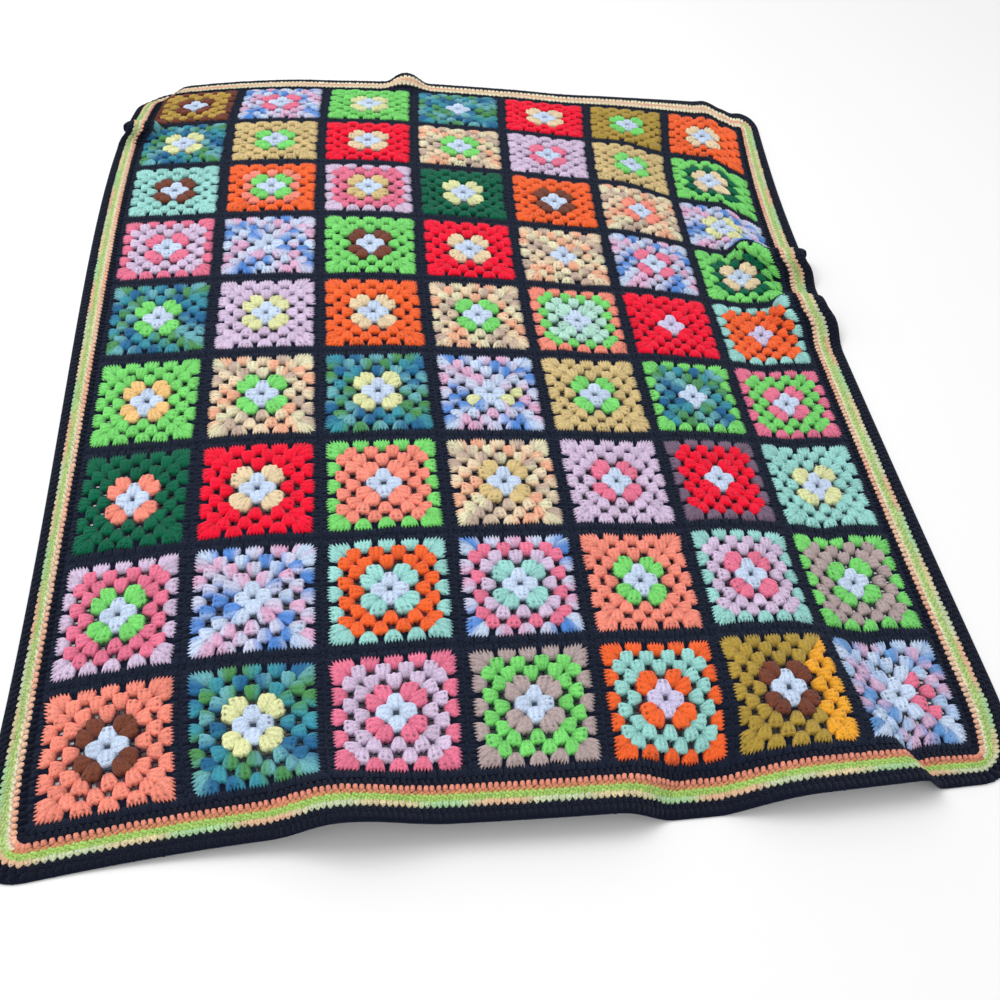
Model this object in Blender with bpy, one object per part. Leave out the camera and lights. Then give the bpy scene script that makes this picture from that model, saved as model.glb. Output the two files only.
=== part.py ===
"""Granny square blanket: 63 crocheted squares joined in navy-black, with a striped border.

The blanket lies loosely on a floor. It is one crocheted cloth of three pieces, worked one
round outside the other: the field of squares, the striped border and the dark outer border.
Every piece is first drawn flat, in cloth coordinates (u across, v along, from the middle of
the cloth), and then laid: a low swell, a few soft folds and the way the cloth has slid are
read from short tables, and the cloth keeps its own length over the swell and the folds.
Metres, +Z up, the floor at z = 0, the middle of the outline at the origin.
"""

from typing import NamedTuple

import bmesh
import bpy
import numpy as np

# ---- driving dimensions: the crocheted cloth, laid flat ----------------------------------
COLUMNS = 7                    # squares across
ROWS = 9                       # squares along
PITCH = 0.140                  # from one square to the next, with its dark joining round
THICKNESS = 0.004              # worsted yarn, worked in three-treble clusters
INNER_BLACK = 0.009            # dark round outside the outermost joining line
STRIPES = 0.016                # coral, lime and variegated rounds together
OUTER_BLACK = 0.015            # dark rounds at the rim
CORNER_RADIUS = 0.042          # of the blanket's outer corners
CORNER_STEPS = 4               # facets round a corner
PIECE_GAP = 0.0003             # between two rounds that are pieces of their own

# ---- the open gap in the middle of each side of a square ---------------------------------
GAP_WIDTH = 0.005              # along the side
GAP_INNER = 0.042              # its near end, from the middle of the square
GAP_OUTER = 0.048              # its far end

FIELD_HALF_WIDTH = COLUMNS * PITCH / 2 + INNER_BLACK
FIELD_HALF_LENGTH = ROWS * PITCH / 2 + INNER_BLACK
HALF_WIDTH = FIELD_HALF_WIDTH + STRIPES + OUTER_BLACK
HALF_LENGTH = FIELD_HALF_LENGTH + STRIPES + OUTER_BLACK

# ---- extra lines of the field where the folds are short ----------------------------------
EXTRA_ACROSS = (-0.482, 0.440)
EXTRA_ALONG = (0.210, 0.490)

# ---- how the cloth lies ------------------------------------------------------------------
TABLE_STEP = 0.005             # spacing of the table that the laid cloth is read from
STEEPEST = 0.95                # rise of the cloth for each unit of its own length
ORIGIN_ACROSS = 0.0049         # moves the middle of the outline to the origin
ORIGIN_ALONG = -0.0142


class Section(NamedTuple):
    """A cross-section of the low swell."""

    along: float               # its place on the cloth, near end negative
    height: float
    left_foot: float           # where the swell leaves the floor
    left_top: float            # where it reaches its height
    right_top: float
    right_foot: float


class Drift(NamedTuple):
    """How far a line across the cloth has slid, at five places from left to right."""

    share: float               # its place along, as a share of the half length
    right: tuple[float, ...]
    away: tuple[float, ...]    # from the near end


class Slack(NamedTuple):
    """How much wider than its nominal width the border lies, on each side."""

    left: float
    right: float
    near: float
    far: float


class Fold(NamedTuple):
    """A soft ridge, or a hollow in the swell where its height is negative."""

    start_across: float
    start_along: float
    end_across: float
    end_along: float
    height: float
    right_width: float         # from its crest to its foot, looking from start to end
    left_width: float
    start_fade: float          # length over which it rises out of the cloth


SECTIONS = (
    Section(-0.65, 0.027, -0.495, -0.100, 0.385, 0.435),
    Section(-0.33, 0.017, -0.500, -0.110, 0.240, 0.440),
    Section(0.00, 0.021, -0.500, -0.120, 0.200, 0.475),
    Section(0.33, 0.019, -0.500, -0.125, 0.245, 0.370),
    Section(0.65, 0.003, -0.500, -0.120, 0.240, 0.445),
)

SHARES = (-1.0, -0.5, 0.0, 0.5, 1.0)     # places of the drift, across the half width
DRIFTS = (
    Drift(-1.0,
          (0.027, 0.026, -0.004, -0.012, -0.022),
          (-0.045, -0.017, -0.016, -0.007, 0.008)),
    Drift(-0.5,
          (0.023, 0.003, 0.005, -0.013, -0.029),
          (-0.027, -0.001, 0.002, 0.006, 0.004)),
    Drift(0.0,
          (0.002, -0.004, -0.004, -0.015, -0.024),
          (0.021, 0.028, 0.019, 0.008, 0.014)),
    Drift(0.5,
          (-0.008, -0.011, -0.001, -0.004, -0.016),
          (0.026, 0.043, 0.029, 0.000, -0.024)),
    Drift(1.0,
          (0.015, 0.002, 0.013, 0.038, 0.015),
          (-0.060, -0.001, 0.000, -0.016, 0.006)),
)

BORDER_SLACK = Slack(-0.003, 0.006, 0.001, 0.006)

FOLDS = {
    "right_edge_fold": Fold(0.411, 0.198, 0.600, 0.205, 0.036, 0.066, 0.065, 0.048),
    "right_edge_wave": Fold(0.445, 0.062, 0.600, 0.037, 0.034, 0.086, 0.063, 0.037),
    "left_far_fold": Fold(-0.462, 0.463, -0.600, 0.481, 0.027, 0.050, 0.050, 0.029),
    "far_edge_wave": Fold(-0.079, 0.608, -0.100, 0.750, 0.019, 0.044, 0.042, 0.053),
    "near_edge_wave": Fold(-0.250, -0.553, -0.160, -0.763, 0.019, 0.075, 0.104, 0.113),
    "near_edge_hollow": Fold(0.219, -0.559, 0.120, -0.750, -0.033, 0.081, 0.121, 0.116),
}


# ---- the laid cloth ----------------------------------------------------------------------
def smooth(places, rows, at):
    """Read rows of values as smooth curves through all their places."""
    curves = np.polynomial.polynomial.polyfit(places, rows, len(rows) - 1)
    return np.polynomial.polynomial.polyval(at, curves)


def section(field, at):
    """Read one column of the swell's table at places along the cloth."""
    places = [row.along for row in SECTIONS]
    return smooth(places, [getattr(row, field) for row in SECTIONS], at)


def ease(t):
    """Smooth step from 0 at t = 0 to 1 at t = 1."""
    t = np.clip(t, 0.0, 1.0)
    return t * t * (3.0 - 2.0 * t)


def swell(u, v):
    """The low swell: up from its left foot, level, and down to its right foot."""
    left_foot = section("left_foot", v)
    left_top = section("left_top", v)
    right_top = section("right_top", v)
    right_foot = section("right_foot", v)
    rise = ease((u - left_foot) / (left_top - left_foot))
    fall = ease((right_foot - u) / (right_foot - right_top))
    return section("height", v) * rise * fall


def fold(u, v, row):
    """One ridge or hollow: a squared cosine across it, fading in along it."""
    run = np.array((row.end_across - row.start_across, row.end_along - row.start_along))
    run = run / np.hypot(*run)
    along = (u - row.start_across) * run[0] + (v - row.start_along) * run[1]
    off = (v - row.start_along) * run[0] - (u - row.start_across) * run[1]
    width = np.where(off < 0.0, row.right_width, row.left_width)
    across = np.cos(np.pi / 2 * np.clip(np.abs(off) / width, 0.0, 1.0)) ** 2
    return row.height * across * ease(along / row.start_fade)


def lift(u, v):
    """Height of the cloth's underside over the floor, never below it."""
    total = swell(u, v)
    for row in FOLDS.values():
        total = total + fold(u, v, row)
    return np.maximum(total, 0.0)


def run_of(rise):
    """Ground covered by a step of cloth that climbs by this share of its length."""
    return np.sqrt(1.0 - np.clip(np.abs(rise), 0.0, STEEPEST) ** 2)


class LaidCloth:
    """The middle surface of the cloth as it lies, tabled over the flat cloth."""

    def __init__(self):
        """Lay the flat table: the cloth keeps its length across and along."""
        count_u = round(2 * HALF_WIDTH / TABLE_STEP) + 1
        count_v = round(2 * HALF_LENGTH / TABLE_STEP) + 1
        self.u = np.linspace(-HALF_WIDTH, HALF_WIDTH, count_u)
        self.v = np.linspace(-HALF_LENGTH, HALF_LENGTH, count_v)
        u, v = np.meshgrid(self.u, self.v)
        z = lift(u, v)
        x = self._walk(z, self.u, 1)
        x = x - x[:, count_u // 2:count_u // 2 + 1]
        y = self._walk(z, self.v, 0) - HALF_LENGTH
        slack = BORDER_SLACK
        beside = ease((np.abs(u) - FIELD_HALF_WIDTH) / (HALF_WIDTH - FIELD_HALF_WIDTH))
        beyond = ease((np.abs(v) - FIELD_HALF_LENGTH) / (HALF_LENGTH - FIELD_HALF_LENGTH))
        x = x + self._drift("right") + np.where(u < 0.0, -slack.left, slack.right) * beside
        y = y + self._drift("away") + np.where(v < 0.0, -slack.near, slack.far) * beyond
        place = (x - ORIGIN_ACROSS, y - ORIGIN_ALONG, z + THICKNESS / 2)
        self.points = np.stack(place, axis=-1)
        across = np.gradient(self.points, self.u, axis=1)
        along = np.gradient(self.points, self.v, axis=0)
        normals = np.cross(across, along)
        self.normals = normals / np.linalg.norm(normals, axis=-1, keepdims=True)

    @staticmethod
    def _walk(z, steps, axis):
        """Ground reached along one direction, from the first line of the table."""
        rise = np.diff(z, axis=axis) / (steps[1] - steps[0])
        ground = np.cumsum(run_of(rise), axis=axis) * (steps[1] - steps[0])
        start = np.zeros_like(ground.take([0], axis=axis))
        return np.concatenate((start, ground), axis=axis)

    def _drift(self, way):
        """How far the cloth has slid one way, over the whole table."""
        rows = [getattr(row, way) for row in DRIFTS]
        lines = smooth([row.share for row in DRIFTS], rows, self.v / HALF_LENGTH)
        return smooth(SHARES, lines, self.u / HALF_WIDTH)

    def read(self, table, u, v):
        """Value of a table between its lines, by shares of the four nearest entries."""
        i = np.clip((u + HALF_WIDTH) / (self.u[1] - self.u[0]), 0, len(self.u) - 1.001)
        j = np.clip((v + HALF_LENGTH) / (self.v[1] - self.v[0]), 0, len(self.v) - 1.001)
        left, near = i.astype(int), j.astype(int)
        right_share = (i - left)[:, None]
        far_share = (j - near)[:, None]
        near_row = table[near, left] * (1 - right_share) + table[near, left + 1] * right_share
        far_row = (table[near + 1, left] * (1 - right_share)
                   + table[near + 1, left + 1] * right_share)
        return near_row * (1 - far_share) + far_row * far_share

    def sheet(self, flat):
        """Upper and lower points of the cloth for an array of flat (u, v) places."""
        middle = self.read(self.points, flat[:, 0], flat[:, 1])
        normal = self.read(self.normals, flat[:, 0], flat[:, 1])
        normal = normal / np.linalg.norm(normal, axis=1, keepdims=True)
        half = normal * THICKNESS / 2
        return middle + half, middle - half


# ---- flat drawings -----------------------------------------------------------------------
class Drawing:
    """A flat piece: places on the cloth, and the four-cornered cells between them."""

    def __init__(self):
        """Start with nothing drawn."""
        self.places = []
        self.cells = []
        self._numbers = {}

    def place(self, u, v):
        """Number of a place, the same for the same place."""
        key = (round(u, 6), round(v, 6))
        if key not in self._numbers:
            self._numbers[key] = len(self.places)
            self.places.append((u, v))
        return self._numbers[key]

    def cell(self, *corners):
        """Add a cell by its corners, counter-clockwise; corners that meet are one."""
        ring = [corner for i, corner in enumerate(corners) if corner != corners[i - 1]]
        if len(ring) > 2:
            self.cells.append(ring)


def centres(count):
    """Middles of a row of squares, from the left or from the near end."""
    return [(i - (count - 1) / 2) * PITCH for i in range(count)]


def field_lines(count, extra):
    """Lines of the field in one direction: at each gap's two ends and two sides."""
    offsets = (GAP_WIDTH / 2, GAP_INNER, GAP_OUTER)
    lines = [centre + side * offset for centre in centres(count)
             for offset in offsets for side in (-1, 1)]
    return sorted(lines + list(extra))


def is_gap(u, v):
    """Whether the middle of a cell lies in one of its square's four open gaps."""
    du = abs((u + (COLUMNS % 2) * PITCH / 2) % PITCH - PITCH / 2)
    dv = abs((v + (ROWS % 2) * PITCH / 2) % PITCH - PITCH / 2)
    small, large = min(du, dv), max(du, dv)
    return small < GAP_WIDTH / 2 and GAP_INNER < large < GAP_OUTER


class Ray(NamedTuple):
    """A line outwards from the rectangle that joins the middles of the rounded corners."""

    u: float
    v: float
    out_u: float
    out_v: float

    def at(self, offset):
        """Flat place at this distance outside the rectangle."""
        return self.u + offset * self.out_u, self.v + offset * self.out_v


MIDDLE_U = HALF_WIDTH - CORNER_RADIUS      # of the rounded corner at the far right
MIDDLE_V = HALF_LENGTH - CORNER_RADIUS


def corner_rays(quarter):
    """Rays round one corner, the far right one being quarter 0, counter-clockwise."""
    side_u = 1.0 if quarter in (0, 3) else -1.0
    side_v = 1.0 if quarter in (0, 1) else -1.0
    angles = [np.pi / 2 * (quarter + step / CORNER_STEPS) for step in range(CORNER_STEPS + 1)]
    return [Ray(side_u * MIDDLE_U, side_v * MIDDLE_V, float(np.cos(angle)), float(np.sin(angle)))
            for angle in angles]


def border_rays():
    """Rays counter-clockwise round the blanket, at the field's own lines and corners."""
    across = field_lines(COLUMNS, EXTRA_ACROSS)
    along = field_lines(ROWS, EXTRA_ALONG)
    sides = (
        [Ray(MIDDLE_U, v, 1.0, 0.0) for v in along],
        [Ray(u, MIDDLE_V, 0.0, 1.0) for u in reversed(across)],
        [Ray(-MIDDLE_U, v, -1.0, 0.0) for v in reversed(along)],
        [Ray(u, -MIDDLE_V, 0.0, -1.0) for u in across],
    )
    return [ray for quarter, side in enumerate(sides) for ray in side + corner_rays(quarter)]


def draw_field():
    """The squares and the dark rounds between them, with four open gaps a square."""
    drawing = Drawing()
    half_width = FIELD_HALF_WIDTH - PIECE_GAP / 2
    half_length = FIELD_HALF_LENGTH - PIECE_GAP / 2
    radius = CORNER_RADIUS - STRIPES - OUTER_BLACK - PIECE_GAP / 2
    across = [-half_width, *field_lines(COLUMNS, EXTRA_ACROSS), half_width]
    along = [-half_length, *field_lines(ROWS, EXTRA_ALONG), half_length]
    for u0, u1 in zip(across, across[1:]):
        for v0, v1 in zip(along, along[1:]):
            if is_gap((u0 + u1) / 2, (v0 + v1) / 2):
                continue
            outline = []
            for u, v in ((u0, v0), (u1, v0), (u1, v1), (u0, v1)):
                if abs(u) == half_width and abs(v) == half_length:
                    quarter = (0 if u > 0 else 1) if v > 0 else (3 if u > 0 else 2)
                    outline += [ray.at(radius) for ray in corner_rays(quarter)]
                else:
                    outline.append((u, v))
            drawing.cell(*(drawing.place(*corner) for corner in outline))
    return drawing


def draw_round(inner, outer):
    """A round of the border between two distances from the blanket's outer edge."""
    drawing = Drawing()
    rays = border_rays()
    near, far = CORNER_RADIUS - inner, CORNER_RADIUS - outer
    for first, second in zip(rays, rays[1:] + rays[:1]):
        corners = (first.at(near), first.at(far), second.at(far), second.at(near))
        drawing.cell(*(drawing.place(*corner) for corner in corners))
    return drawing


# ---- solids ------------------------------------------------------------------------------
def material(name, colour, roughness):
    """A plain Principled finish."""
    finish = bpy.data.materials.new(name)
    finish.use_nodes = True
    shader = finish.node_tree.nodes["Principled BSDF"]
    shader.inputs["Base Color"].default_value = (*colour, 1.0)
    shader.inputs["Roughness"].default_value = roughness
    shader.inputs["Metallic"].default_value = 0.0
    return finish


def wall(start, end, count, rising):
    """Two faces of an edge; facing walls of two pieces are split along the same diagonal."""
    if rising:
        return [end, start, end + count], [start, start + count, end + count]
    return [end, start, start + count], [end, start + count, end + count]


def solid(name, drawing, cloth, finish):
    """Lay a flat drawing as one closed solid: upper side, underside and edges."""
    upper, lower = cloth.sheet(np.array(drawing.places))
    count = len(upper)
    faces = []
    for cell in drawing.cells:
        faces.append(list(cell))
        faces.append([corner + count for corner in reversed(cell)])
    steps = {(cell[i - 1], cell[i]) for cell in drawing.cells for i in range(len(cell))}
    for start, end in sorted(steps):
        if (end, start) not in steps:
            faces += wall(start, end, count, drawing.places[start] < drawing.places[end])
    mesh = bpy.data.meshes.new(name)
    mesh.from_pydata(np.concatenate((upper, lower)).tolist(), [], faces)
    work = bmesh.new()
    work.from_mesh(mesh)
    bmesh.ops.triangulate(work, faces=work.faces)
    work.to_mesh(mesh)
    work.free()
    mesh.shade_smooth()
    mesh.set_sharp_from_angle(angle=np.radians(60.0))
    mesh.materials.append(finish)
    piece = bpy.data.objects.new(name, mesh)
    bpy.context.scene.collection.objects.link(piece)
    return piece


def main():
    """Clear the scene and model the blanket."""
    for leftover in list(bpy.data.objects):
        bpy.data.objects.remove(leftover, do_unlink=True)
    cloth = LaidCloth()
    half_gap = PIECE_GAP / 2
    rim = OUTER_BLACK + STRIPES
    navy = material("navy_black_yarn", (0.012, 0.014, 0.028), 0.95)
    squares = material("mixed_bright_yarns", (0.45, 0.25, 0.20), 0.95)
    stripes = material("striped_yarns", (0.60, 0.62, 0.22), 0.95)
    solid("square_field", draw_field(), cloth, squares)
    solid("striped_border", draw_round(rim - half_gap, OUTER_BLACK + half_gap), cloth, stripes)
    solid("outer_border", draw_round(OUTER_BLACK - half_gap, 0.0), cloth, navy)


main()
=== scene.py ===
"""The looks of a granny square blanket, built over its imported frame.

The blanket is drawn flat, in cloth coordinates (u across, v along, from the middle of the
cloth), and every point is then carried to the cloth as it lies. Thin closed sheets stand for
the frame's three solids. On them stand the stitches: clusters of three trebles in the
squares, dark stitches between the squares, and the rounds of the border. Metres, +Z up.
"""

import logging
import math
from dataclasses import dataclass, field
from enum import Enum

import bpy
import numpy as np
from mathutils import Euler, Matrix
from numpy.polynomial.polynomial import polyfit, polyval
from numpy.typing import NDArray


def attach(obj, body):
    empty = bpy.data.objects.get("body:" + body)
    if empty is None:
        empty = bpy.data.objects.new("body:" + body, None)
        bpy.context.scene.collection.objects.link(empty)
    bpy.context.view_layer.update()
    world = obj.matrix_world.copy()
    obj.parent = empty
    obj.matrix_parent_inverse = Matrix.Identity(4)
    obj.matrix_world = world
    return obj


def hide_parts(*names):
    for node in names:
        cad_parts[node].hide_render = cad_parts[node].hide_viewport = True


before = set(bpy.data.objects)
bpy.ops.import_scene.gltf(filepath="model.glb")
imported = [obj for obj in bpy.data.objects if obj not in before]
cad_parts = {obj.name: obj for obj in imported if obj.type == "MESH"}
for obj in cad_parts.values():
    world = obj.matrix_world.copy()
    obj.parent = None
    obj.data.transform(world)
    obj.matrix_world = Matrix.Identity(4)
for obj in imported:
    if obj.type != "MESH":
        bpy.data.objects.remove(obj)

Array = NDArray[np.float64]
Numbers = NDArray[np.int64]

LOG = logging.getLogger("granny_square_blanket")
BODY = "root"
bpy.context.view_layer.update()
SEED = 20


# ---- yarns -------------------------------------------------------------------------------
Colour = tuple[float, float, float]


@dataclass(frozen=True)
class YarnColour:
    """A yarn as it is bought: one shade, or the shades that follow each other along it.

    Attributes:
        shades: linear colours; more than one for a variegated yarn.
        run: clusters worked before a variegated yarn changes shade.
    """

    shades: tuple[Colour, ...]
    run: float = 1.0


class Yarn(Enum):
    """The yarns of the blanket; the chart of the squares uses their letters."""

    WHITE = "w"
    LILAC_WHITE = "h"
    PALE_YELLOW = "y"
    CREAM = "c"
    STRAW = "s"
    APRICOT = "a"
    OCHRE = "o"
    MUSTARD = "m"
    AMBER = "A"
    ORANGE = "g"
    CORAL = "k"
    RED = "r"
    ROSE = "R"
    LILAC_PINK = "p"
    TAUPE = "t"
    BROWN = "n"
    GREY_PURPLE = "x"
    LIME = "l"
    MINT = "i"
    PALE_MINT = "j"
    DARK_GREEN = "d"
    TEAL_MIX = "T"
    PASTEL_MIX = "V"
    PEACH_MIX = "P"
    SKY_MIX = "S"
    NAVY = "N"
    JOINING_NAVY = "M"
    BORDER_PINK = "0"
    BORDER_CORAL = "1"
    BORDER_LIME = "2"
    BORDER_MIX = "3"
    BORDER_PEACH = "4"
    BORDER_CREAM = "5"
    BORDER_PALE_LIME = "6"


def plain(red: float, green: float, blue: float) -> YarnColour:
    """A yarn of one linear colour."""
    return YarnColour(((red, green, blue),))


WHITE_SHADE = (0.59, 0.71, 0.91)
YARNS: dict[Yarn, YarnColour] = {
    Yarn.WHITE: YarnColour((WHITE_SHADE,)),
    Yarn.LILAC_WHITE: plain(0.66, 0.60, 0.84),
    Yarn.PALE_YELLOW: plain(0.76, 0.78, 0.40),
    Yarn.CREAM: plain(0.83, 0.66, 0.42),
    Yarn.STRAW: plain(0.70, 0.53, 0.24),
    Yarn.APRICOT: plain(0.90, 0.56, 0.22),
    Yarn.OCHRE: plain(0.53, 0.34, 0.07),
    Yarn.MUSTARD: plain(0.46, 0.31, 0.05),
    Yarn.AMBER: plain(0.93, 0.42, 0.03),
    Yarn.ORANGE: plain(0.97, 0.14, 0.028),
    Yarn.CORAL: plain(0.98, 0.29, 0.21),
    Yarn.RED: plain(0.98, 0.004, 0.034),
    Yarn.ROSE: plain(0.84, 0.19, 0.31),
    Yarn.LILAC_PINK: plain(0.70, 0.55, 0.75),
    Yarn.TAUPE: plain(0.47, 0.37, 0.36),
    Yarn.BROWN: plain(0.18, 0.052, 0.027),
    Yarn.GREY_PURPLE: plain(0.20, 0.13, 0.20),
    Yarn.LIME: plain(0.20, 0.71, 0.16),
    Yarn.MINT: plain(0.34, 0.71, 0.66),
    Yarn.PALE_MINT: plain(0.48, 0.78, 0.66),
    Yarn.DARK_GREEN: plain(0.000, 0.125, 0.058),
    Yarn.TEAL_MIX: YarnColour(
        ((0.02, 0.14, 0.31), (0.05, 0.31, 0.40), (0.08, 0.29, 0.09), (0.16, 0.45, 0.50)), 1.3),
    Yarn.PASTEL_MIX: YarnColour(
        ((0.09, 0.26, 0.70), WHITE_SHADE, (0.76, 0.42, 0.62), (0.62, 0.64, 0.83)), 1.2),
    Yarn.PEACH_MIX: YarnColour(
        ((0.90, 0.44, 0.28), (0.82, 0.78, 0.52), (0.56, 0.42, 0.34), (0.86, 0.70, 0.48)), 1.2),
    Yarn.SKY_MIX: YarnColour(
        ((0.14, 0.34, 0.70), WHITE_SHADE, (0.42, 0.58, 0.84), (0.70, 0.45, 0.65)), 1.2),
    Yarn.NAVY: plain(0.0042, 0.0068, 0.0190),
    Yarn.JOINING_NAVY: plain(0.0085, 0.0140, 0.0345),
    Yarn.BORDER_PINK: plain(0.84, 0.31, 0.21),
    Yarn.BORDER_CORAL: plain(0.76, 0.33, 0.15),
    Yarn.BORDER_LIME: plain(0.46, 0.72, 0.17),
    Yarn.BORDER_MIX: YarnColour(
        ((0.80, 0.68, 0.40), (0.46, 0.72, 0.38), (0.84, 0.54, 0.34), (0.64, 0.72, 0.46)), 9.0),
    Yarn.BORDER_PEACH: YarnColour(((0.95, 0.50, 0.33), (0.95, 0.62, 0.42)), 14.0),
    Yarn.BORDER_CREAM: YarnColour(((0.95, 0.90, 0.64), (0.95, 0.82, 0.58)), 14.0),
    Yarn.BORDER_PALE_LIME: plain(0.54, 0.74, 0.25),
}

# The squares from the far row to the near one, each with the yarns of its five rounds.
CHART = (
    "wnoon wRVVV wylll wTTTT wcrrr wlmmm wcggg",
    "wyTTT wlsss wcrrr wlPPP wRppp wlsss wcdll",
    "wniii wlkgg wsRRp wyddd wnggg wkPPP wyVVV",
    "wRppR wVVVV wnlll wcrrr wPPPP wRVVV wcdll",
    "wlTTT wyppp wcggg wlPPP wjjlk hrrrr hgggi",
    "walll wlPPP wyTTT wVVVV wlsss wTTTl wRllR",
    "wkddd wcrrr wkkkl wsPPP wRppp wrrrx wyiii",
    "wlRRp wVVVV wiggi wipRV wlkkk wRppi wlttl",
    "wnkkk wyTTT wRppR wtllt hgiig wnmmm wSSSS",
)


@dataclass(frozen=True)
class YarnChange:
    """Clusters of a round that are worked in another yarn than the rest of it.

    Attributes:
        row: the square's row, from the far edge.
        column: its column, from the left.
        number: the round, from 0.
        first: the first such cluster, from the far right corner round by the left.
        last: the one after the last.
        yarn: what they are worked in.
    """

    row: int
    column: int
    number: int
    first: int
    last: int
    yarn: Yarn


YARN_CHANGES = (
    YarnChange(5, 3, 1, 3, 4, Yarn.PALE_YELLOW),
    YarnChange(5, 3, 1, 6, 7, Yarn.PALE_YELLOW),
    YarnChange(5, 3, 2, 10, 11, Yarn.PALE_YELLOW),
    YarnChange(8, 5, 2, 9, 12, Yarn.AMBER),
    YarnChange(8, 5, 3, 11, 16, Yarn.AMBER),
    YarnChange(8, 5, 4, 14, 20, Yarn.AMBER),
    YarnChange(8, 6, 1, 6, 8, Yarn.ROSE),
    YarnChange(8, 6, 2, 9, 11, Yarn.ROSE),
)


def shade_of(yarn: Yarn, run: Array) -> Array:
    """Colour of a yarn at places along it.

    The shades follow each other evenly, each held for half its share of the run and then
    eased into the next: c = s[k] + (s[k+1] - s[k]) * ease(2 f - 1), with k + f = run.

    Args:
        yarn: which yarn.
        run: places along it, in shades.

    Returns:
        One linear colour for each place.
    """
    shades = np.array(YARNS[yarn].shades)
    step = np.floor(run).astype(int)
    share = ease(2.0 * (run - step) - 0.5)[..., None]
    count = len(shades)
    return shades[step % count] * (1 - share) + shades[(step + 1) % count] * share


# ---- the cloth as it lies ----------------------------------------------------------------
def ease(t: Array) -> Array:
    """Smooth step 3t² - 2t³, level outside 0 to 1."""
    t = np.clip(t, 0.0, 1.0)
    return t * t * (3.0 - 2.0 * t)


@dataclass(frozen=True)
class Section:
    """A cross-section of the low swell.

    Attributes:
        along: its place along the cloth.
        height: how high the swell stands there.
        left_foot: where it starts to rise, across.
        left_top: where it is up.
        right_top: where it starts to fall.
        right_foot: where it is down.
    """

    along: float
    height: float
    left_foot: float
    left_top: float
    right_top: float
    right_foot: float


@dataclass(frozen=True)
class Drift:
    """How far a line across the cloth has slid, at five places from left to right.

    Attributes:
        share: its place along, as a share of the half length.
        right: how far it has slid to the right at each place.
        away: how far it has slid from the near end.
    """

    share: float
    right: tuple[float, ...]
    away: tuple[float, ...]


@dataclass(frozen=True)
class Slack:
    """How much wider than its nominal width the border lies, on each side."""

    left: float
    right: float
    near: float
    far: float


@dataclass(frozen=True)
class Fold:
    """A soft ridge, or a hollow in the swell where its height is negative.

    Attributes:
        start_across: where its crest starts, across.
        start_along: where its crest starts, along.
        end_across: a place that it runs towards, across.
        end_along: the same, along.
        height: height of its crest.
        right_width: its reach to the right of the way that it runs.
        left_width: its reach to the left.
        start_fade: the length over which the crest comes up.
    """

    start_across: float
    start_along: float
    end_across: float
    end_along: float
    height: float
    right_width: float
    left_width: float
    start_fade: float

    def rise(self, u: Array, v: Array) -> Array:
        """Height of the fold: cos² across it, times a smooth step along it.

        Args:
            u: places across the cloth.
            v: places along the cloth.

        Returns:
            Its height at those places.
        """
        run = np.array((self.end_across - self.start_across, self.end_along - self.start_along))
        run = run / np.hypot(*run)
        along = (u - self.start_across) * run[0] + (v - self.start_along) * run[1]
        off = (v - self.start_along) * run[0] - (u - self.start_across) * run[1]
        width = np.where(off < 0.0, self.right_width, self.left_width)
        across = np.cos(np.pi / 2 * np.clip(np.abs(off) / width, 0.0, 1.0)) ** 2
        return self.height * across * ease(along / self.start_fade)


SECTIONS = (
    Section(-0.65, 0.027, -0.495, -0.100, 0.385, 0.435),
    Section(-0.33, 0.017, -0.500, -0.110, 0.240, 0.440),
    Section(0.00, 0.021, -0.500, -0.120, 0.200, 0.475),
    Section(0.33, 0.019, -0.500, -0.125, 0.245, 0.370),
    Section(0.65, 0.003, -0.500, -0.120, 0.240, 0.445),
)
# Shares of the half width at which every row of DRIFTS gives its five values.
SHARES = (-1.0, -0.5, 0.0, 0.5, 1.0)
DRIFTS = (
    Drift(-1.0,
          (0.027, 0.026, -0.004, -0.012, -0.022),
          (-0.045, -0.017, -0.016, -0.007, 0.008)),
    Drift(-0.5,
          (0.023, 0.003, 0.005, -0.013, -0.029),
          (-0.027, -0.001, 0.002, 0.006, 0.004)),
    Drift(0.0,
          (0.002, -0.004, -0.004, -0.015, -0.024),
          (0.021, 0.028, 0.019, 0.008, 0.014)),
    Drift(0.5,
          (-0.008, -0.011, -0.001, -0.004, -0.016),
          (0.026, 0.043, 0.029, 0.000, -0.024)),
    Drift(1.0,
          (0.015, 0.002, 0.013, 0.038, 0.015),
          (-0.060, -0.001, 0.000, -0.016, 0.006)),
)
BORDER_SLACK = Slack(-0.003, 0.006, 0.001, 0.006)
FOLDS = (
    Fold(0.411, 0.198, 0.600, 0.205, 0.036, 0.066, 0.065, 0.048),
    Fold(0.445, 0.062, 0.600, 0.037, 0.034, 0.086, 0.063, 0.037),
    Fold(-0.462, 0.463, -0.600, 0.481, 0.027, 0.050, 0.050, 0.029),
    Fold(-0.079, 0.608, -0.100, 0.750, 0.019, 0.044, 0.042, 0.053),
    Fold(-0.250, -0.553, -0.160, -0.763, 0.019, 0.075, 0.104, 0.113),
    Fold(0.219, -0.559, 0.120, -0.750, -0.033, 0.081, 0.121, 0.116),
)


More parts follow.
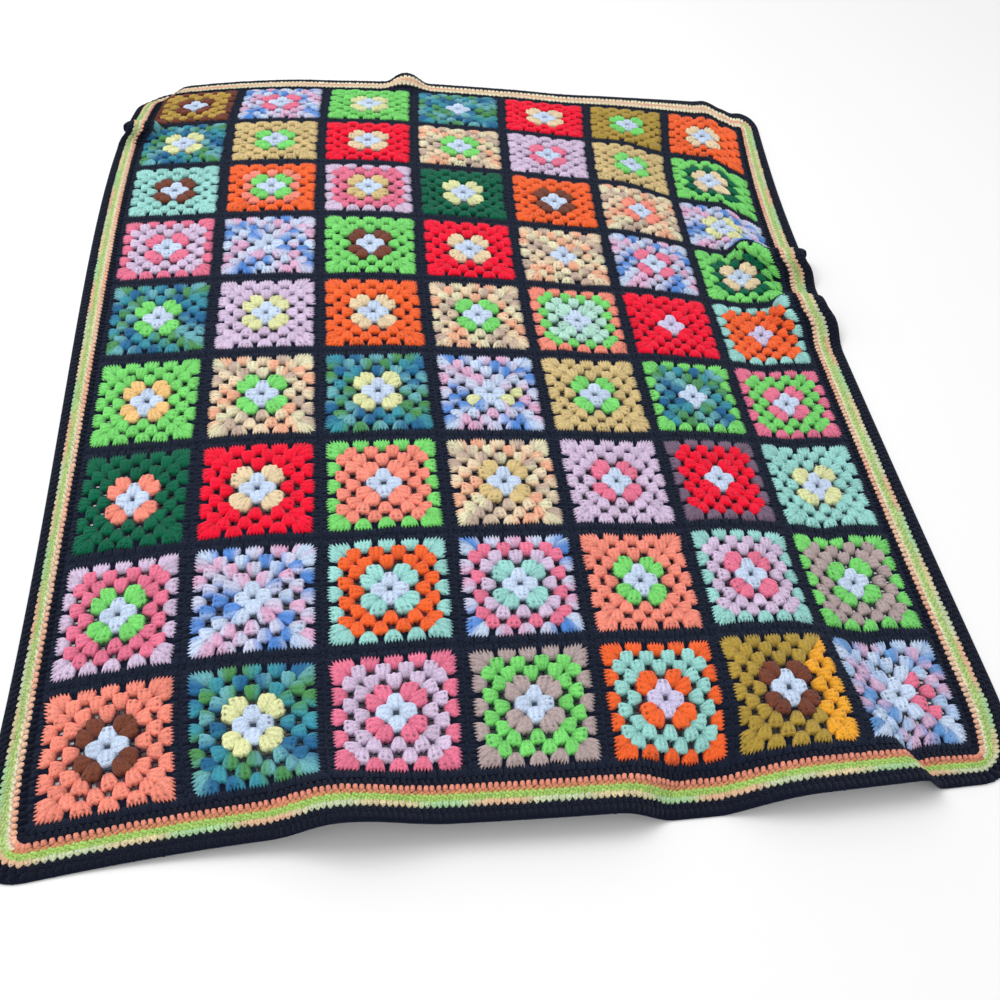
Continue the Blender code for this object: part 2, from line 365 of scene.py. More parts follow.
@dataclass
class LaidCloth:
    """The middle surface of the blanket as it lies, tabled over the flat cloth.

    It repeats the frame's own laying: the cloth rises over the swell and the folds, and a
    step of cloth that climbs by r of its length covers sqrt(1 - r²) of ground.

    Attributes:
        columns: squares across.
        rows: squares along.
        pitch: from the middle of one square to the next.
        inner_black: dark edge round the squares.
        stripes: width of the coloured rounds of the border.
        outer_black: width of the dark rounds at the rim.
        corner_radius: radius of the rim's corners.
        thickness: of the frame's solids.
        table_step: about how far apart the table's lines are.
        steepest: most that the cloth climbs, as a share of its own length.
        table_end: how far reading stops short of the last line, in lines.
        origin_across: where the frame's origin lies from the middle of the cloth, across.
        origin_along: the same, along.
        field_half: half sizes of the field of squares, laid flat.
        half: half sizes of the blanket, laid flat.
        points: the table's points.
        normals: their upward normals.
    """

    columns: int = 7
    rows: int = 9
    pitch: float = 0.140
    inner_black: float = 0.009
    stripes: float = 0.016
    outer_black: float = 0.015
    corner_radius: float = 0.042
    thickness: float = 0.004
    table_step: float = 0.005
    steepest: float = 0.95
    table_end: float = 0.001
    origin_across: float = 0.0049
    origin_along: float = -0.0142
    field_half: Array = field(init=False)
    half: Array = field(init=False)
    points: Array = field(init=False)
    normals: Array = field(init=False)

    def __post_init__(self) -> None:
        """Lay the flat table."""
        grid = np.array((self.columns, self.rows))
        self.field_half = grid * self.pitch / 2 + self.inner_black
        self.half = self.field_half + self.stripes + self.outer_black
        count = np.round(2 * self.half / self.table_step).astype(int) + 1
        across = np.linspace(-self.half[0], self.half[0], count[0])
        along = np.linspace(-self.half[1], self.half[1], count[1])
        u, v = np.meshgrid(across, along)
        z = self.lift(u, v)
        x = self._walk(z, across, 1)
        x = x - x[:, count[0] // 2:count[0] // 2 + 1]
        y = self._walk(z, along, 0) - self.half[1]
        border = self.stripes + self.outer_black
        beside = ease((np.abs(u) - self.field_half[0]) / border)
        beyond = ease((np.abs(v) - self.field_half[1]) / border)
        slack = BORDER_SLACK
        x = x + self._drift("right", across, along)
        y = y + self._drift("away", across, along)
        x = x + np.where(u < 0.0, -slack.left, slack.right) * beside
        y = y + np.where(v < 0.0, -slack.near, slack.far) * beyond
        place = (x - self.origin_across, y - self.origin_along, z + self.thickness / 2)
        self.points = np.stack(place, axis=-1)
        sideways = np.gradient(self.points, across, axis=1)
        lengthways = np.gradient(self.points, along, axis=0)
        normals = np.cross(sideways, lengthways)
        self.normals = normals / np.linalg.norm(normals, axis=-1, keepdims=True)

    @staticmethod
    def _smooth(places: list[float] | tuple[float, ...], rows: list | Array,
                at: Array) -> Array:
        """Read rows of values as polynomials through all their places.

        Args:
            places: where each row stands.
            rows: a value, or a line of values, for each place.
            at: places to read them at.

        Returns:
            The values there; a line of values runs down, the places run across.
        """
        return polyval(at, polyfit(places, rows, len(rows) - 1))

    def _drift(self, way: str, across: Array, along: Array) -> Array:
        """How far the cloth has slid one way, over the whole table.

        Args:
            way: the drift's column, right or away.
            across: the table's places across.
            along: its places along.

        Returns:
            One distance for each crossing.
        """
        shares = [row.share for row in DRIFTS]
        rows = [getattr(row, way) for row in DRIFTS]
        lines = self._smooth(shares, rows, along / self.half[1])
        return self._smooth(SHARES, lines, across / self.half[0])

    def _swell(self, u: Array, v: Array) -> Array:
        """The low swell: height(v) * ease up from its left foot * ease down to its right.

        Args:
            u: places across the cloth.
            v: places along the cloth.

        Returns:
            Its height there.
        """
        names = ("left_foot", "left_top", "right_top", "right_foot", "height")
        places = [row.along for row in SECTIONS]
        left_foot, left_top, right_top, right_foot, height = (
            self._smooth(places, [getattr(row, name) for row in SECTIONS], v) for name in names)
        rise = ease((u - left_foot) / (left_top - left_foot))
        return height * rise * ease((right_foot - u) / (right_foot - right_top))

    def lift(self, u: Array, v: Array) -> Array:
        """Height of the underside over the floor: swell plus folds, never below 0.

        Args:
            u: places across the cloth.
            v: places along the cloth.

        Returns:
            Its height there.
        """
        total = self._swell(u, v)
        for row in FOLDS:
            total = total + row.rise(u, v)
        return np.maximum(total, 0.0)

    def _walk(self, z: Array, steps: Array, axis: int) -> Array:
        """Ground reached along one direction: the sum of step * sqrt(1 - (dz/step)²).

        Args:
            z: heights of the table.
            steps: places of its lines.
            axis: direction to walk in.

        Returns:
            Ground covered from the first line.
        """
        step = steps[1] - steps[0]
        rise = np.clip(np.abs(np.diff(z, axis=axis)) / step, 0.0, self.steepest)
        ground = np.cumsum(np.sqrt(1.0 - rise ** 2), axis=axis) * step
        return np.concatenate((np.zeros_like(ground.take([0], axis=axis)), ground), axis=axis)

    def _read(self, table: Array, flat: Array) -> Array:
        """Value of a table between its lines, by shares of the four nearest entries.

        Args:
            table: points or normals over the flat cloth.
            flat: (u, v) places, one in a row.

        Returns:
            The table's values there.
        """
        last = np.array(table.shape[1::-1]) - 1
        at = np.clip((flat + self.half) / (2 * self.half) * last, 0, last - self.table_end)
        low = at.astype(int)
        share = (at - low)[:, :, None]
        left, near = low[:, 0], low[:, 1]
        close = table[near, left] * (1 - share[:, 0]) + table[near, left + 1] * share[:, 0]
        away = table[near + 1, left] * (1 - share[:, 0]) + table[near + 1, left + 1] * share[:, 0]
        return close * (1 - share[:, 1]) + away * share[:, 1]

    def place(self, flat: Array, height: Array) -> Array:
        """Points of the laid blanket: middle(u, v) + height * normal(u, v).

        Past the rim the cloth goes on straight, by the distance that a point lies outside.
        Yarn that would sink into the floor is pressed flat on it.

        Args:
            flat: (u, v) places, one in a row.
            height: height of each over the middle surface.

        Returns:
            Their places in the frame.
        """
        inside = np.clip(flat, -self.half, self.half)
        over = flat - inside
        normal = self._read(self.normals, inside)
        normal = normal / np.linalg.norm(normal, axis=1, keepdims=True)
        spot = self._read(self.points, inside) + normal * height[:, None]
        spot[:, :2] += over
        spot[:, 2] = np.maximum(spot[:, 2], 0.0)
        return spot

    def centres(self, count: int) -> Array:
        """Middles of a row of squares, from the left or from the near end."""
        return (np.arange(count) - (count - 1) / 2) * self.pitch


# ---- stitches ----------------------------------------------------------------------------
DOME_POWER = 2.4            # of the lateral share, in a stitch's round back
GROOVED_SHARE = 0.95        # lateral share up to which a stitch is grooved
RIM_SHARE = 0.999           # lateral share from which a point is on the rim
TOOTH_LEVEL = 0.6           # wave above which the far edge is drawn out, below it in
TOOTH_START = 0.88          # share of the stitch where its teeth begin
TOOTH_RUN = 0.08            # share over which they grow
# painted shade by a stitch's rim fades out over this height above the rim
CREVICE_SHADE_HEIGHT = 0.0028     # height over the rim at which the yarn has its own brightness
LENGTH_SPREAD = 0.03        # spreads of a stitch's length, brightness, puff and teeth
BRIGHT_SPREAD = 0.045
PUFF_SPREAD = 0.08
TOOTH_SPREAD = 0.22
TREBLES = 3                 # most posts that the shader's grooves show on a stitch


@dataclass(frozen=True)
class Station:
    """A cross-section of a stitch, at a share of its length.

    Attributes:
        share: how far along it lies.
        half_width: half its width.
        height: its height; 0 sinks it into the cloth.
        groove: depth of the grooves between its posts, as a share of the height.
        light: how bright the yarn is there as painted shade, 1 being its own colour;
        above 1 a painted highlight on the tips.
    """

    share: float
    half_width: float
    height: float
    groove: float = 0.0
    light: float = 1.0


@dataclass(frozen=True)
class StitchForm:
    """The puffy upper side of a stitch, its rim sunk into the cloth.

    At a station of half width w and height h, a lateral share q from -1 to 1 gives
    across = w q and height = h (1 - |q|^2.4)^0.5 (1 - groove * valley), where valley is 1
    between two posts and 0 at their middles and by the rim. Teeth draw out the far edge at
    the posts' tops.

    Attributes:
        stations: its cross-sections from the inner end to the top.
        posts: strands that show side by side.
        shoulder: lateral share of one more point by each side, 0 for none.
        tooth: how far the teeth stand out at its top.
        rim: height of its sunken rim.
        crevice_shade: painted shade where the stitch goes under its neighbours, as how bright
        the yarn is there.
    """

    stations: tuple[Station, ...]
    posts: int
    shoulder: float = 0.0
    tooth: float = 0.0
    rim: float = -0.0006
    crevice_shade: float = 0.55

    def _column(self, name: str) -> Array:
        """One column of the stations, upright."""
        return np.array([[getattr(row, name)] for row in self.stations])

    def lateral(self) -> Array:
        """Lateral shares of its points: posts' middles, grooves, sides and shoulders.

        Returns:
            The shares, from -1 to 1.
        """
        q = np.linspace(-1.0, 1.0, 2 * self.posts + 1)
        extra = (-self.shoulder, self.shoulder) if self.shoulder else ()
        return np.sort(np.concatenate((q, extra)))

    def wave(self, q: Array) -> Array:
        """1 at the posts' middles and 0 in the grooves: sin² of π times posts passed."""
        return np.sin(np.pi * (q + 1.0) * self.posts / 2.0) ** 2

    def grid(self) -> tuple[Array, Array, Array, Array, Array]:
        """Work out the stitch's points.

        Returns:
            Share along it, distance across, height, lateral share, and light (painted
            shade and highlight), each of the shape stations by lateral points.
        """
        q = self.lateral()
        tall = self._column("height")
        dome = np.clip(1.0 - np.abs(q) ** DOME_POWER, 0.0, 1.0) ** 0.5
        valley = (1.0 - self.wave(q)) * (np.abs(q) < GROOVED_SHARE)
        height = tall * dome * (1.0 - self._column("groove") * valley)
        height = np.where((np.abs(q) > RIM_SHARE) | (tall <= 0.0), self.rim, height)
        level = np.ones_like(height)
        return (self._column("share") * level, self._column("half_width") * q, height,
                q * level, self._column("light") * level)

    def faces(self) -> Numbers:
        """Four-cornered faces of the grid, seen from above counter-clockwise.

        Returns:
            Four point numbers in a row.
        """
        rows, columns = len(self.stations), len(self.lateral())
        corner = np.arange(rows * columns).reshape(rows, columns)
        quads = (corner[:-1, :-1], corner[:-1, 1:], corner[1:, 1:], corner[1:, :-1])
        return np.stack(quads, axis=-1).reshape(-1, 4)

    def teeth(self, share: Array, q: Array) -> Array:
        """Reach of the far edge: tooth * (wave - TOOTH_LEVEL), growing near the top.

        Args:
            share: share along the stitch.
            q: lateral share.

        Returns:
            How far each point is drawn out.
        """
        grown = ease((share - TOOTH_START) / TOOTH_RUN)
        return self.tooth * (self.wave(q) - TOOTH_LEVEL) * grown


# A Station's last number, its light, is painted shade below 1 at sunk feet, slits and ends, and a
# painted highlight above 1 on the tips of fans and mixed stitches.
PETAL = StitchForm((
    Station(0.00, 0.0032, 0.0, 0.0, 0.4), Station(0.08, 0.0070, 0.0036, 0.1, 0.8),
    Station(0.25, 0.0096, 0.0052, 0.15), Station(0.43, 0.0100, 0.0058, 0.15),
    Station(0.64, 0.0094, 0.0060, 0.15), Station(0.82, 0.0082, 0.0056, 0.1),
    Station(0.94, 0.0062, 0.0042, 0.05), Station(1.00, 0.0044, 0.0, 0.0, 0.7)),
    posts=3, shoulder=0.88, tooth=0.0006, crevice_shade=0.7)
CLUSTER = StitchForm((
    Station(0.00, 0.0034, 0.0, 0.0, 0.45), Station(0.07, 0.0046, 0.0032, 0.15, 0.7),
    Station(0.27, 0.0066, 0.0050, 0.2, 0.95), Station(0.52, 0.0082, 0.0060, 0.2),
    Station(0.76, 0.0091, 0.0062, 0.15), Station(0.92, 0.0090, 0.0050, 0.1),
    Station(1.00, 0.0078, 0.0, 0.0, 0.7)), posts=3, shoulder=0.88, tooth=0.0018)
CORNER_CLUSTER = StitchForm((
    Station(0.00, 0.0046, 0.0, 0.0, 0.45), Station(0.07, 0.0060, 0.0034, 0.15, 0.75),
    Station(0.27, 0.0082, 0.0052, 0.2), Station(0.52, 0.0096, 0.0060, 0.2),
    Station(0.76, 0.0100, 0.0062, 0.15), Station(0.92, 0.0093, 0.0050, 0.1),
    Station(1.00, 0.0078, 0.0, 0.0, 0.7)), posts=3, shoulder=0.88, tooth=0.0018, crevice_shade=0.65)
FAN = StitchForm((
    Station(0.00, 0.0036, 0.0, 0.0, 0.45), Station(0.10, 0.0052, 0.0034, 0.0, 0.75),
    Station(0.34, 0.0080, 0.0051, 0.1), Station(0.58, 0.0097, 0.0054, 0.16),
    Station(0.82, 0.0103, 0.0046, 0.22), Station(1.00, 0.0103, 0.0028, 0.4, 1.1),
    Station(0.985, 0.0100, 0.0, 0.0, 0.7)), posts=6, tooth=0.0044, crevice_shade=0.6)
CORNER_FAN = StitchForm((
    Station(0.00, 0.0038, 0.0, 0.0, 0.4), Station(0.10, 0.0054, 0.0036, 0.0, 0.7),
    Station(0.34, 0.0084, 0.0052, 0.1, 0.95), Station(0.58, 0.0102, 0.0055, 0.16),
    Station(0.82, 0.0112, 0.0048, 0.22), Station(1.00, 0.0114, 0.0030, 0.4, 1.1),
    Station(0.985, 0.0111, 0.0, 0.0, 0.7)), posts=6, tooth=0.0044, crevice_shade=0.6)
DARK_STITCH = StitchForm((
    Station(0.00, 0.0012, 0.0), Station(0.18, 0.0028, 0.0018),
    Station(0.60, 0.0034, 0.0021), Station(1.00, 0.0030, 0.0011)), posts=1, shoulder=0.6)
SEAM_STITCH = StitchForm((
    Station(0.00, 0.0018, 0.0010), Station(0.30, 0.0031, 0.0020),
    Station(0.70, 0.0031, 0.0021), Station(1.00, 0.0016, 0.0009)), posts=1)
BEAD_STITCH = StitchForm((
    Station(0.00, 0.0014, 0.0), Station(0.06, 0.0025, 0.0026), Station(0.24, 0.0031, 0.0036),
    Station(0.58, 0.0033, 0.0036), Station(0.86, 0.0033, 0.0026, 0.0, 0.9),
    Station(1.00, 0.0032, 0.0010, 0.0, 0.6)), posts=1, shoulder=0.6, crevice_shade=0.6)
BAND_STITCH = StitchForm((
    Station(0.00, 0.0040, 0.0008, 0.0, 0.6), Station(0.22, 0.0043, 0.0028, 0.3),
    Station(0.78, 0.0043, 0.0029, 0.3), Station(1.00, 0.0040, 0.0010, 0.0, 0.75)),
    posts=2, crevice_shade=0.85)
LIME_STITCH = StitchForm((
    Station(0.00, 0.0040, 0.0012, 0.0, 0.7), Station(0.13, 0.0043, 0.0030, 0.3),
    Station(0.37, 0.0044, 0.0032, 0.25), Station(0.50, 0.0043, 0.0019, 0.15, 0.65),
    Station(0.63, 0.0044, 0.0031, 0.25), Station(0.87, 0.0043, 0.0029, 0.3),
    Station(1.00, 0.0040, 0.0010, 0.0, 0.75)), posts=2, crevice_shade=0.85)
MIXED_STITCH = StitchForm((
    Station(0.00, 0.0040, 0.0010, 0.0, 0.7), Station(0.14, 0.0043, 0.0030, 0.3),
    Station(0.50, 0.0041, 0.0033, 0.2), Station(0.74, 0.0032, 0.0031, 0.1),
    Station(0.90, 0.0019, 0.0027), Station(1.00, 0.0009, 0.0018, 0.0, 1.1),
    Station(0.98, 0.0006, 0.0)), posts=2, crevice_shade=0.85)
BUMP_STITCH = StitchForm((
    Station(0.00, 0.0009, 0.0), Station(0.10, 0.0018, 0.0014), Station(0.30, 0.0028, 0.0020),
    Station(0.52, 0.0036, 0.0023), Station(0.76, 0.0039, 0.0022),
    Station(1.00, 0.0038, 0.0014)), posts=1, shoulder=0.6, crevice_shade=0.8)
RIM_STITCH = StitchForm((
    Station(0.00, 0.0038, 0.0012), Station(0.28, 0.0043, 0.0021),
    Station(0.68, 0.0043, 0.0018), Station(0.90, 0.0042, 0.0009),
    Station(1.00, 0.0040, -0.0002)), posts=1, shoulder=0.6, rim=-0.0012, crevice_shade=0.8)


@dataclass
class StitchRow:
    """Stitches of one form: where each starts and ends on the flat cloth, and its yarn.

    Attributes:
        form: their form.
        start: inner ends, one in a row.
        end: tops, one in a row.
        colour: colour at each stitch's left, middle and right.
        side: direction of each stitch's width; square to its length if not given.
    """

    form: StitchForm
    start: Array
    end: Array
    colour: Array
    side: Array | None = None

    def varied(self, draw: np.random.Generator, turn: float, slip: float) -> "StitchRow":
        """The same stitches, worked a little unevenly.

        Args:
            draw: random draws.
            turn: spread of the direction, in radians.
            slip: spread of the place, in metres.

        Returns:
            Stitches that are turned about their start and slipped.
        """
        angle = draw.normal(0.0, turn, len(self.start))
        run = (self.end - self.start) * draw.normal(1.0, LENGTH_SPREAD, (len(self.start), 1))
        start = self.start + draw.normal(0.0, slip, self.start.shape)
        bright = draw.normal(1.0, BRIGHT_SPREAD, (len(self.start), 1, 1))
        side = None if self.side is None else turned(self.side, angle)
        return StitchRow(self.form, start, start + turned(run, angle),
                         self.colour * bright, side)


def turned(arrows: Array, angle: Array) -> Array:
    """Arrows turned about their tails, counter-clockwise.

    Args:
        arrows: one in a row.
        angle: each one's turn, in radians.

    Returns:
        The turned arrows.
    """
    cos, sin = np.cos(angle), np.sin(angle)
    return np.stack((arrows[:, 0] * cos - arrows[:, 1] * sin,
                     arrows[:, 0] * sin + arrows[:, 1] * cos), axis=-1)


@dataclass
class Piece:
    """Gathers stitches and makes one mesh object of them.

    Attributes:
        name: the object's name.
        cloth: the laid cloth they stand on.
        draw: random draws.
    """

    name: str
    cloth: LaidCloth
    draw: np.random.Generator
    _points: list[Array] = field(default_factory=list)
    _faces: list[Numbers] = field(default_factory=list)
    _colours: list[Array] = field(default_factory=list)
    _marks: list[Array] = field(default_factory=list)
    _count: int = 0

    def add(self, row: StitchRow) -> None:
        """Stand a row of stitches on the cloth.

        A point at share a along, b across and c high lies at
        start + a (end - start) + b side, c above the middle surface, with its teeth and
        its puff a little uneven. Colour goes from left to middle to right over the lateral
        share, times the station's light, which is painted shade and highlight, and is darker
        near the rim as painted shade where the stitch goes under its neighbours. The mark is
        the posts passed, the share along, and the stitch's own lot.

        Args:
            row: the stitches.
        """
        share, across, height, q, light = (part.ravel() for part in row.form.grid())
        run = row.end - row.start
        length = np.linalg.norm(run, axis=1, keepdims=True)
        ahead = run / length
        side = row.side
        if side is None:
            side = np.stack((ahead[:, 1], -ahead[:, 0]), axis=-1)
        ragged = self.draw.normal(1.0, TOOTH_SPREAD, (len(run), len(share)))
        reach = length * share + row.form.teeth(share, q) * ragged
        flat = (row.start[:, None, :] + ahead[:, None, :] * reach[:, :, None]
                + side[:, None, :] * across[None, :, None])
        puff = self.draw.normal(1.0, PUFF_SPREAD, (len(run), 1))
        high = np.broadcast_to(height, reach.shape) * np.where(height > 0, puff, 1.0)
        points = self.cloth.place(flat.reshape(-1, 2), high.ravel())
        left, middle, right = (row.colour[:, k, None, :] for k in range(3))
        lean = q[None, :, None]
        colour = np.where(lean < 0, middle + (middle - left) * lean,
                          middle + (right - middle) * lean)
        # painted shade: darker by the rim, where the stitch goes under its neighbours, and by the
        # station's light
        crevice_shade = row.form.crevice_shade
        clear = ease((height - row.form.rim) / CREVICE_SHADE_HEIGHT)
        depth = light * (crevice_shade + (1 - crevice_shade) * clear)
        colour = np.clip(colour, 0.0, 1.0) * depth[None, :, None]
        lot = np.broadcast_to(self.draw.random((len(run), 1)), reach.shape)
        post = (q + 1.0) * min(row.form.posts, TREBLES) / 2.0
        marks = np.stack((np.broadcast_to(post, reach.shape),
                          np.broadcast_to(share, reach.shape), lot), axis=-1)
        faces = row.form.faces()
        offset = self._count + np.arange(len(run))[:, None, None] * len(share)
        self._points.append(points)
        self._faces.append((faces[None] + offset).reshape(-1, 4))
        self._colours.append(colour.reshape(-1, 3))
        self._marks.append(marks.reshape(-1, 3))
        self._count += len(points)

    def make(self, material: bpy.types.Material, slot: str) -> bpy.types.Object:
        """Make the piece's object.

        Args:
            material: its finish.
            slot: not used.

        Returns:
            The object, riding on the blanket.
        """
        made = mesh_object(self.name, np.concatenate(self._points),
                           np.concatenate(self._faces))
        # the colour written is the yarn's colour times its painted shade and highlight
        colour = np.concatenate(self._colours)
        set_attribute(made, "yarn_colour_and_shade", "FLOAT_COLOR", "POINT",
                      np.hstack((colour, np.ones((len(colour), 1)))))
        set_attribute(made, "stitch", "FLOAT_VECTOR", "POINT", np.concatenate(self._marks))
        dress(made, material)
        return made


def mesh_object(name: str, points: Array, faces: Numbers) -> bpy.types.Object:
    """Put points and four-cornered faces into a new object.

    Args:
        name: the object's name.
        points: places, one in a row.
        faces: four point numbers in a row.

    Returns:
        The object, smooth and linked to the scene.
    """
    mesh = bpy.data.meshes.new(name)
    mesh.vertices.add(len(points))
    mesh.vertices.foreach_set("co", points.astype(np.float32).ravel())
    mesh.loops.add(faces.size)
    mesh.loops.foreach_set("vertex_index", faces.astype(np.int32).ravel())
    mesh.polygons.add(len(faces))
    mesh.polygons.foreach_set("loop_start", np.arange(len(faces), dtype=np.int32) * 4)
    mesh.update(calc_edges=True)
    mesh.shade_smooth()
    made = bpy.data.objects.new(name, mesh)
    bpy.context.scene.collection.objects.link(made)
    return made


def set_attribute(made: bpy.types.Object, name: str, kind: str, domain: str,
                  values: Array) -> None:
    """Write an attribute over a mesh.

    Args:
        made: the object.
        name: the attribute's name.
        kind: its data type, a colour or a vector.
        domain: what it is stored on.
        values: one row for each element.
    """
    attribute = made.data.attributes.new(name, kind, domain)
    entry = "color" if kind == "FLOAT_COLOR" else "vector"
    attribute.data.foreach_set(entry, values.astype(np.float32).ravel())


def dress(made: bpy.types.Object, material: bpy.types.Material) -> None:
    """Give a piece its finish and let it ride on the blanket.

    Args:
        made: the piece.
        material: its finish.
    """
    made.data.materials.append(material)
    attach(made, BODY)
    triangles = sum(len(face.vertices) - 2 for face in made.data.polygons)
    LOG.info("%s: %d triangles", made.name, triangles)


# ---- the sheets that the stitches stand on -----------------------------------------------
SHEET_TOP = 0.0002          # heights of a sheet's two sides over the middle surface
SHEET_BOTTOM = -0.0019
NODE_GAP = 0.0003           # between the frame's solids
SMALL = 1e-6                # lengths closer than this are the same


def sheet_faces(corner: Numbers, keep: NDArray[np.bool_], count: int, wrap: bool) -> Numbers:
    """Faces of a closed sheet over a grid: kept cells, the same below, and walls between.

    Args:
        corner: point number at each crossing of the grid.
        keep: which cells are cloth.
        count: points of the upper side; the lower side's numbers follow them.
        wrap: whether the grid's last row of cells meets its first.

    Returns:
        Four point numbers in a row; the upper cells come first.
    """
    near_left, near_right = corner[:-1, :-1], corner[:-1, 1:]
    far_left, far_right = corner[1:, :-1], corner[1:, 1:]
    upper = np.stack((near_left, near_right, far_right, far_left), axis=-1)[keep]
    lower = upper[:, ::-1] + count
    ends = np.pad(keep, ((1, 1), (0, 0)), mode="wrap" if wrap else "constant")
    sides = np.pad(keep, ((0, 0), (1, 1)))
    edges = (
        (near_left, near_right, ~ends[:-2]),
        (far_right, far_left, ~ends[2:]),
        (far_left, near_left, ~sides[:, :-2]),
        (near_right, far_right, ~sides[:, 2:]),
    )
    walls = []
    for start, end, free in edges:
        rim = keep & free
        a, b = start[rim], end[rim]
        walls.append(np.stack((b, a, a + count, b + count), axis=-1))
    return np.concatenate((upper, lower, *walls))


def sheet_object(name: str, cloth: LaidCloth, flat: Array, faces: Numbers,
                 face_colour: Array) -> bpy.types.Object:
    """Lay a closed sheet, top and bottom parallel to the middle surface.

    Args:
        name: the object's name.
        cloth: the laid cloth.
        flat: (u, v) places of the grid.
        faces: faces of the closed sheet over those places.
        face_colour: one colour for each face.

    Returns:
        The object.
    """
    level = np.ones(len(flat))
    points = np.concatenate((cloth.place(flat, level * SHEET_TOP),
                             cloth.place(flat, level * SHEET_BOTTOM)))
    made = mesh_object(name, points, faces)
    # the face colours carry the sheet's painted shade
    colour = np.hstack((face_colour, np.ones((len(faces), 1))))
    set_attribute(made, "yarn_colour_and_shade", "FLOAT_COLOR", "CORNER", np.repeat(colour, 4, axis=0))
    return made


@dataclass(frozen=True)
class Gap:
    """An open gap of a square, repeated on its four sides.

    Attributes:
        lateral: how far its middle lies from the middle of the side, on both hands.
        inner: its near end, from the middle of the square.
        outer: its far end.
    """

    lateral: float
    inner: float
    outer: float


@dataclass
class FieldCloth:
    """The sheet under the squares, cut through at every open gap.

    Attributes:
        cloth: the laid cloth.
        gap_width: width of every gap.
        gaps: the gaps of a side.
        ring_ends: where each round's colour ends, from the middle of a square.
        upper_shade: painted shade on the yarn between the stitches, seen from above, as a
        share of its colour.
        under_shade: brightness of the underside.
    """

    cloth: LaidCloth
    gap_width: float = 0.0040
    gaps: tuple[Gap, ...] = (
        Gap(0.0, 0.0221, 0.0267), Gap(0.0122, 0.0317, 0.0366),
        Gap(0.0, 0.0422, 0.0472), Gap(0.0244, 0.0422, 0.0472),
    )
    ring_ends: tuple[float, ...] = (0.0221, 0.0317, 0.0422, 0.0472, 0.0612)
    upper_shade: float = 0.07
    under_shade: float = 0.62

    def _lines(self, count: int, half: float) -> Array:
        """Lines of the grid in one direction: edges of the field, of gaps and of rounds.

        Args:
            count: squares in that direction.
            half: half size of the field in it.

        Returns:
            Their places, in order.
        """
        near = [gap.lateral - self.gap_width / 2 for gap in self.gaps if gap.lateral]
        far = [gap.lateral + self.gap_width / 2 for gap in self.gaps]
        ends = [end for gap in self.gaps for end in (gap.inner, gap.outer)]
        offsets = np.unique(np.round(np.array(near + far + ends + [self.ring_ends[-1]]), 4))
        offsets = np.concatenate((-offsets, offsets))
        lines = (self.cloth.centres(count)[:, None] + offsets[None]).ravel()
        return np.sort(np.concatenate((lines, (-half, half))))

    def _from_middle(self, at: Array, count: int) -> Array:
        """Distance of places from the middle of their own square, in one direction."""
        pitch = self.cloth.pitch
        return (at + (count % 2) * pitch / 2) % pitch - pitch / 2

    def make(self, chart: "Squares", material: bpy.types.Material) -> bpy.types.Object:
        """Lay the sheet.

        Args:
            chart: the squares, whose yarns colour it.
            material: its finish.

        Returns:
            The object.
        """
        cloth = self.cloth
        across = self._lines(cloth.columns, cloth.field_half[0])
        along = self._lines(cloth.rows, cloth.field_half[1])
        u, v = np.meshgrid((across[1:] + across[:-1]) / 2, (along[1:] + along[:-1]) / 2)
        du = np.abs(self._from_middle(u, cloth.columns))
        dv = np.abs(self._from_middle(v, cloth.rows))
        keep = np.ones(u.shape, bool)
        for gap in self.gaps:
            for side, out in ((du, dv), (dv, du)):
                beside = np.abs(side - gap.lateral) < self.gap_width / 2
                keep &= ~(beside & (out > gap.inner) & (out < gap.outer))
        corner = np.arange(len(across) * len(along)).reshape(len(along), len(across))
        faces = sheet_faces(corner, keep, corner.size, wrap=False)
        ring = np.searchsorted(np.array(self.ring_ends), np.maximum(du, dv))
        yarn = chart.mean_colour(u, v, ring)[keep]
        # painted shade: between the stitches the top is the yarn darkened to upper_shade over
        # navy, and the walls of the cut gaps are navy
        navy = np.array(YARNS[Yarn.NAVY].shades[0])
        upper = np.where((ring[keep] < len(self.ring_ends) - 1)[:, None],
                         yarn * self.upper_shade + navy, navy)
        walls = np.tile(navy, (len(faces) - 2 * len(yarn), 1))
        flat = np.stack(np.meshgrid(across, along), axis=-1).reshape(-1, 2)
        outermost = (np.abs(flat) > cloth.field_half - SMALL).all(axis=1, keepdims=True)
        radius = cloth.corner_radius - cloth.stripes - cloth.outer_black
        flat = flat - np.sign(flat) * outermost * radius * (1.0 - math.sqrt(0.5))
        made = sheet_object("square_field_cloth", cloth, flat, faces,
                            np.concatenate((upper, yarn * self.under_shade, walls)))
        dress(made, material)
        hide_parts("square_field")
        return made


LEGS = 8                    # of a rim path: four sides and four corners


